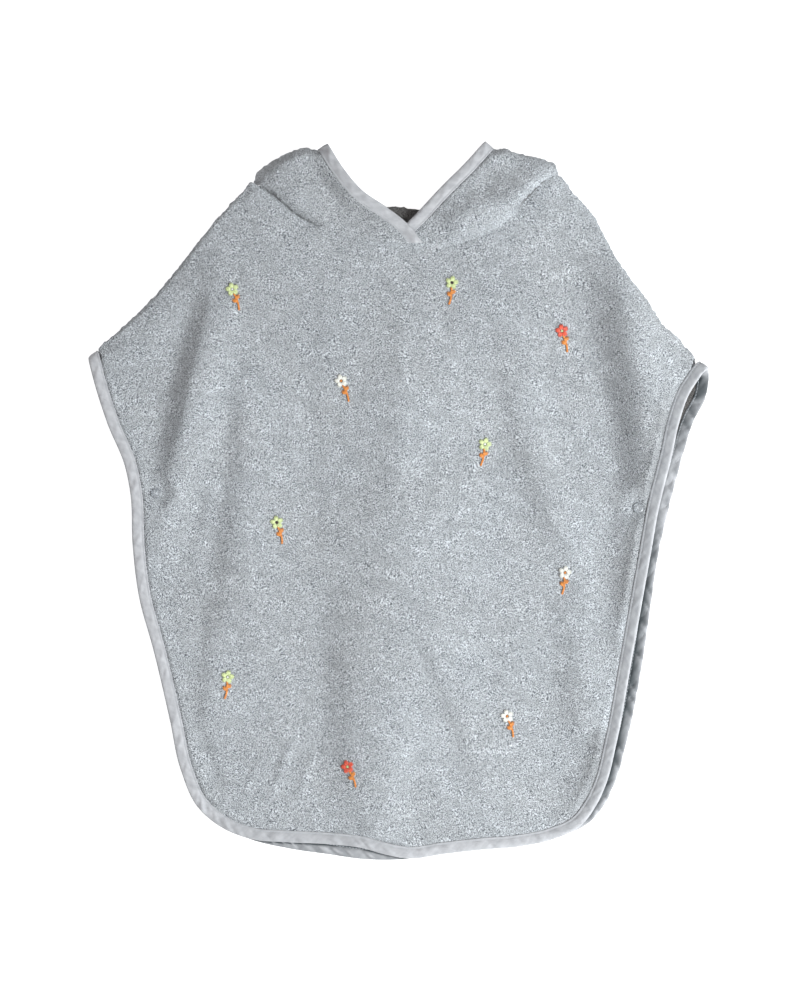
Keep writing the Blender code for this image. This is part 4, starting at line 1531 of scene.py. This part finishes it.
@dataclass
class Studio:
    """A pale floor, soft light from the lower right and a camera straight above."""

    camera_height: float = 2.2
    view_height: float = 0.92
    subject_height: float = 0.008
    sensor_height: float = 24.0
    floor_glow: float = 0.85
    sky_strength: float = 0.28

    def floor(self) -> bpy.types.Object:
        """Lays the floor.

        Returns:
            The floor, which isn't part of the garment.
        """
        mesh = bmesh.new()
        bmesh.ops.create_grid(mesh, x_segments=1, y_segments=1, size=4.0)
        data = bpy.data.meshes.new("floor")
        mesh.to_mesh(data)
        mesh.free()
        paper = bpy.data.materials.new("pale_paper")
        paper.use_nodes = True
        shader = paper.node_tree.nodes["Principled BSDF"]
        shader.inputs["Base Color"].default_value = (0.6, 0.6, 0.6, 1.0)
        shader.inputs["Roughness"].default_value = 0.9
        shader.inputs["Specular IOR Level"].default_value = 0.1
        shader.inputs["Emission Color"].default_value = (1.0, 1.0, 1.0, 1.0)
        shader.inputs["Emission Strength"].default_value = self.floor_glow
        data.materials.append(paper)
        made = bpy.data.objects.new("floor", data)
        made.location = (0.0, 0.0, -0.0002)
        bpy.context.scene.collection.objects.link(made)
        return made

    def light(
        self, name: str, place: Sequence[float], size: float, power: float, tint: Sequence[float]
    ) -> None:
        """Adds one square soft light that faces the garment.

        Args:
            name: The light's name.
            place: Where it stands, in metres.
            size: The length of its side.
            power: Its power in watts.
            tint: Its colour.
        """
        lamp = bpy.data.lights.new(name, "AREA")
        lamp.size = size
        lamp.energy = power
        lamp.color = tint
        made = bpy.data.objects.new(name, lamp)
        made.location = place
        made.rotation_euler = (Vector((0.0, 0.0, 0.0)) - Vector(place)).to_track_quat("-Z", "Y").to_euler()
        bpy.context.scene.collection.objects.link(made)

    def build(self) -> None:
        """Sets the floor, the lights, the surroundings and the camera."""
        self.floor()
        self.light("key", (2.0, -0.95, 1.85), 1.35, 123.0, (0.94, 0.985, 1.0))
        self.light("overhead", (0.1, -0.4, 2.9), 2.4, 20.0, (1.0, 0.975, 0.97))
        world = bpy.data.worlds.new("studio")
        world.use_nodes = True
        sky = world.node_tree.nodes["Background"]
        sky.inputs["Color"].default_value = (1.0, 0.972, 0.97, 1.0)
        sky.inputs["Strength"].default_value = self.sky_strength
        bpy.context.scene.world = world
        bpy.context.scene.view_settings.view_transform = "Standard"
        lens = bpy.data.cameras.new("camera")
        lens.sensor_fit = "VERTICAL"
        lens.sensor_height = self.sensor_height
        lens.lens = self.sensor_height * (self.camera_height - self.subject_height) / self.view_height
        camera = bpy.data.objects.new("camera", lens)
        camera.location = (0.0, 0.0, self.camera_height)
        bpy.context.scene.collection.objects.link(camera)
        bpy.context.scene.camera = camera


FRONT_CREASES = (
    Crease((-160, 240), (-194, 96), (-229, -72), 6.4, 22, 42, 0.7),
    Crease((-146, 246), (-204, 182), (-262, 120), 2.4, 26, 30),
    Crease((-184, -196), (-177, -238), (-160, -274), -1.8, 9, 11),
    Crease((-168, 36), (-180, -16), (-193, -66), 1.2, 8, 12, 0.4),
    Crease((-140, 172), (-149, 0), (-172, -160), 3.0, 19, 34, 0.4),
    Crease((-166, -84), (-175, -160), (-176, -246), 2.8, 16, 26, 0.3),
    Crease((2, 236), (4, 20), (-6, -318), 3.0, 82, 112),
    Crease((-66, 236), (-68, 70), (-62, -96), 1.5, 20, 42, 0.3),
    Crease((3, 208), (0, 110), (-5, -24), 1.6, 18, 24, 0.3),
    Crease((-46, -44), (-48, -190), (-16, -372), 3.6, 30, 40, 0.2),
    Crease((-6, -120), (-9, -230), (-8, -372), 2.4, 30, 26, 0.2),
    Crease((8, -66), (38, -160), (88, -290), 2.6, 14, 34, 0.2),
    Crease((84, 186), (128, 20), (196, -140), 3.6, 20, 34, 0.2),
    Crease((154, -60), (167, -147), (177, -236), 4.2, 30, 34),
    Crease((99, -88), (104, -184), (112, -270), 1.2, 30, 26),
    Crease((184, 262), (222, 110), (244, -60), 14.0, 42, 46, 0.1),
    Crease((220, 36), (216, -56), (208, -150), 4.4, 28, 10, 0.2),
    Crease((148, -300), (188, -244), (210, -192), 4.4, 28, 9, 0.2),
    Crease((-121, -280), (-109, -246), (-97, -212), 1.3, 7, 9, 0.3),
    Crease((-100, -290), (-90, -262), (-78, -228), 0.9, 6, 8),
    Crease((-146, -274), (-136, -252), (-124, -232), 0.9, 7, 8),
    Crease((-30, -296), (-22, -308), (-12, -318), 1.0, 8, 8),
)
LEFT_HOOD_CREASES = (
    Crease((-90, 316), (-56, 270), (-20, 243), -2.9, 20, 13),
    Crease((-122, 316), (-98, 290), (-72, 268), 1.4, 12, 14),
    Crease((-138, 274), (-116, 303), (-78, 322), 1.3, 9, 18),
)
RIGHT_HOOD_CREASES = (
    Crease((22, 234), (71, 269), (131, 309), 4.1, 18, 44, 0.3),
    Crease((60, 300), (88, 316), (112, 322), 1.2, 9, 9),
)
SPRIGS = (
    Sprig(-152, 186, 14, Bloom.LIME),
    Sprig(46, 192, -12, Bloom.BROWN),
    Sprig(150, 148, 10, Bloom.CORAL),
    Sprig(-52, 102, 16, Bloom.WHITE),
    Sprig(76, 44, -16, Bloom.LIME),
    Sprig(-112, -28, 10, Bloom.BROWN),
    Sprig(150, -74, -12, Bloom.WHITE),
    Sprig(-160, -170, -12, Bloom.LIME),
    Sprig(100, -206, 12, Bloom.WHITE),
    Sprig(-46, -252, 18, Bloom.CORAL),
)


def inside_shade(points: Array) -> Array:
    """Works out the painted shade on the back's inside: how deep in the side opening each point lies.

    Args:
        points: Places on the back, in millimetres.

    Returns:
        A shade for each place, from 0 to 1.
    """
    facing = smoothstep((points[:, 2] - 0.8) / 0.8)
    near = smoothstep((beyond_front(points) + 34.0) / 12.0)
    below = 1.0 - smoothstep((points[:, 1] - 106.0) / 8.0)
    return facing * near * below * smoothstep((points[:, 0] - 150.0) / 40.0)


def throat_shade(points: Array) -> Array:
    """Painted shade on the folded hood: how deep in the neck each point lies, from 0 to 1."""
    gap = np.hypot(points[:, 0] - 5.0, points[:, 1] - 262.0)
    return 1.0 - smoothstep((gap - 30.0) / 16.0)


def edge_shade(points: Array) -> Array:
    """Works out the painted shade that darkens the front towards its binding, most of all on the right.

    Args:
        points: Places on the front, in millimetres.

    Returns:
        A shade for each place, from 0 to 1.
    """
    x, y = points[:, 0], points[:, 1]
    gap = distance_to(points, spline(EDGE, 20.0))[0]
    # Painted shade: a faint line beside the binding, and a wider band near the right side's binding.
    line = 0.1 * (1.0 - smoothstep((gap - BINDING_WIDTH) / 3.0))
    right = smoothstep((x - 140.0) / 40.0) * (1.0 - smoothstep((y - 66.0) / 60.0))
    right *= 0.34 * smoothstep((y + 120.0) / 30.0) + 0.36 * smoothstep((-205.0 - y) / 20.0)
    return line + right * (1.0 - smoothstep((gap - 13.0) / 20.0))


def hood_shade(points: Array) -> Array:
    """Works out the faint painted shade of the hood's left half, which leans away from the light.

    Args:
        points: Places on the hood, in millimetres.

    Returns:
        A shade for each place, deeper beside the left half's tape.
    """
    x, y = points[:, 0], points[:, 1]
    left = smoothstep((4.0 - x) / 30.0) * (1.0 - smoothstep((y - x - 388.0) / 24.0))
    gap = distance_to(points, spline(LEFT_OPENING, 10.0))[0]
    beside = 1.0 - smoothstep((gap - 13.0) / 12.0)
    return 0.02 + left * (0.07 + 0.13 * beside)


def raise_throat(points: Array) -> Array:
    """Brings the hood's inner roll up into the opening's point, in a low arc.

    Args:
        points: Places on the folded hood, in millimetres.

    Returns:
        The places, moved.
    """
    share = smoothstep((points[:, 1] - 232.0) / 22.0)
    arc = np.clip(1.0 - ((points[:, 0] + 1.0) / 24.0) ** 2, 0.0, 1.0)
    return points + (share * arc)[:, None] * np.array([0.0, 5.0, 1.0])


CORNERS: Rows = (
    # x, y: a corner of the panels. radius: how far the push reaches. dx, dy: the push.
    (143, 292, 22, 1.5, 6),
    (-133, 288, 12, -2, 3),
    (252, 148, 20, 3, 2.5),
    (270, 131, 13, 3, -0.5),
    (-276, 142, 12, -3, -2),
)


def fill_corners(points: Array) -> Array:
    """Pushes the panels' corners out under the hood and the sleeve tips' tape.

    Args:
        points: Places on a panel, in millimetres.

    Returns:
        The places, moved in plan.
    """
    moved = points.copy()
    for x, y, radius, dx, dy in CORNERS:
        share = 1.0 - smoothstep(np.hypot(points[:, 0] - x, points[:, 1] - y) / radius)
        moved[:, :2] += share[:, None] * np.array([dx, dy])
    return moved


def rgba(red: float, green: float, blue: float) -> Color:
    """A colour with full cover."""
    return (red, green, blue, 1.0)


class Poncho:
    """The whole garment: its finishes and its pieces."""

    def __init__(self) -> None:
        """Builds the finishes."""
        effects = Effects()
        # Terry: painted light on the loops' tips, painted shade in their gaps, then the colour of painted
        # shade.
        self.terry = TerryFinish(
            "terry", rgba(0.855, 0.893, 0.932), rgba(0.08, 0.088, 0.1), rgba(0.088, 0.074, 0.062)
        ).material(effects)
        # Tape: its light and dark tone, then the colour of painted shade.
        self.tape = TapeFinish(
            "binding_cotton", rgba(0.535, 0.54, 0.56), rgba(0.39, 0.395, 0.415), rgba(0.026, 0.036, 0.041)
        ).material(effects)
        self.thread = ThreadFinish("sewing_thread", rgba(0.50, 0.53, 0.56), rgba(0.36, 0.38, 0.41)).material()
        self.silks = [
            ThreadFinish("white_silk", rgba(0.90, 0.90, 0.84), rgba(0.66, 0.66, 0.60), 0.4).material(),
            ThreadFinish("lime_silk", rgba(0.72, 0.80, 0.42), rgba(0.48, 0.56, 0.26), 0.4).material(),
            ThreadFinish("coral_silk", rgba(0.82, 0.13, 0.07), rgba(0.55, 0.07, 0.04), 0.4).material(),
            ThreadFinish("brown_silk", rgba(0.06, 0.025, 0.02), rgba(0.025, 0.012, 0.01), 0.4).material(),
            ThreadFinish("orange_silk", rgba(0.80, 0.30, 0.06), rgba(0.52, 0.17, 0.03), 0.4).material(),
        ]
        self.plastic = ClearPlasticFinish("clear_plastic").material()

    def terry_pieces(self) -> dict[str, bpy.types.Object]:
        """Builds the panels and the hood.

        Returns:
            The pieces by name.
        """
        edge = spline(EDGE, 20.0)
        back_edge = np.column_stack([edge[:, :2] + edge[:, 2:4]])
        shoulders = [spline(LEFT_SHOULDER, 18.0), spline(RIGHT_SHOULDER, 18.0)]
        neck = spline(NECK, 12.0)
        left, right = spline(LEFT_OPENING, 10.0), spline(RIGHT_OPENING, 10.0)
        pieces = (
            TerryPiece(
                "front_terry",
                "front_panel",
                creases=FRONT_CREASES,
                bound_lines=[edge],
                seams=[neck],
                keep_lines=shoulders,
                studs=("press_stud_left_socket", "press_stud_right_socket"),
                shade=edge_shade,
                reshape=fill_corners,
            ),
            TerryPiece(
                "back_terry",
                "back_panel",
                shown_cell=6.2,
                bound_lines=[back_edge],
                keep_lines=shoulders,
                shows_underside=True,
                rounding=12,
                shade=inside_shade,
                reshape=fill_corners,
            ),
            TerryPiece(
                "hood_left_terry",
                "hood_left",
                shown_cell=2.4,
                creases=LEFT_HOOD_CREASES,
                bound_lines=[left],
                seams=[neck],
                rounding=16,
                shade=hood_shade,
            ),
            TerryPiece(
                "hood_right_terry",
                "hood_right",
                shown_cell=2.4,
                creases=RIGHT_HOOD_CREASES,
                bound_lines=[right],
                seams=[neck],
                rounding=16,
                shade=hood_shade,
            ),
            TerryPiece(
                "hood_fold_terry",
                "hood_fold",
                shown_cell=4.6,
                shows_underside=True,
                rounding=6,
                shade=throat_shade,
                reshape=raise_throat,
            ),
        )
        made = {}
        for piece in pieces:
            made[piece.name] = piece.build(self.terry)
            LOG.info("%s: %d triangles", piece.name, len(made[piece.name].data.polygons))
        return made

    def bindings(self) -> dict[str, bpy.types.Object]:
        """Builds the three strips of bias binding and their stitches.

        Returns:
            The pieces by name.
        """
        made = {}
        left, right = "hood_binding_left", "hood_binding_right"
        runs = {
            "body_tape": ("body_binding", BodyEdge().run()),
            "hood_left_tape": (left, HoodEdge(left, LEFT_OPENING, 1.0).run()),
            "hood_right_tape": (right, HoodEdge(right, RIGHT_OPENING, -1.0).run()),
        }
        lower_ends = {"hood_left_tape": 234.5, "hood_right_tape": 239.0}
        for name, (node, run) in runs.items():
            made[name] = BiasBinding(name, node, run, lower_end=lower_ends.get(name)).build(self.tape)
            stitches = name.replace("tape", "stitches")
            made[stitches] = StitchLine(stitches, run).build(self.thread)
            LOG.info("%s and its stitches", name)
        return made

    def trims(self, pieces: dict[str, bpy.types.Object]) -> dict[str, bpy.types.Object]:
        """Builds the soft strip over the neck's seam, the embroidery and the press studs.

        Args:
            pieces: The terry pieces.

        Returns:
            The trims by name.
        """
        front = surface_of(pieces["front_terry"])
        ground = surface_of(pieces["front_terry"], pieces["hood_left_terry"], pieces["hood_right_terry"])
        made = {
            "neck_seam": NeckSeam("neck_seam", NECK).build(self.terry, ground),
            "embroidery": Embroidery("embroidery", SPRIGS).build(self.silks, front),
        }
        for side in ("left", "right"):
            for half in StudHalf:
                part = half.name.lower()
                name = f"stud_{side}_{part}"
                made[name] = PressStud(name, f"press_stud_{side}_{part}", half).build(self.plastic)
        LOG.info("trims: %s", ", ".join(made))
        return made

    def build(self) -> dict[str, bpy.types.Object]:
        """Builds every piece in turn.

        Returns:
            The pieces by name.
        """
        pieces = self.terry_pieces()
        pieces.update(self.bindings())
        pieces.update(self.trims(pieces))
        return pieces


def main() -> None:
    """Dresses the garment, sets the studio and notes the sizes."""
    logging.basicConfig(level=logging.INFO, format="%(name)s: %(message)s")
    pieces = Poncho().build()
    Studio().build()
    LOG.info("%d pieces", len(pieces))


if __name__ == "__main__":
    main()
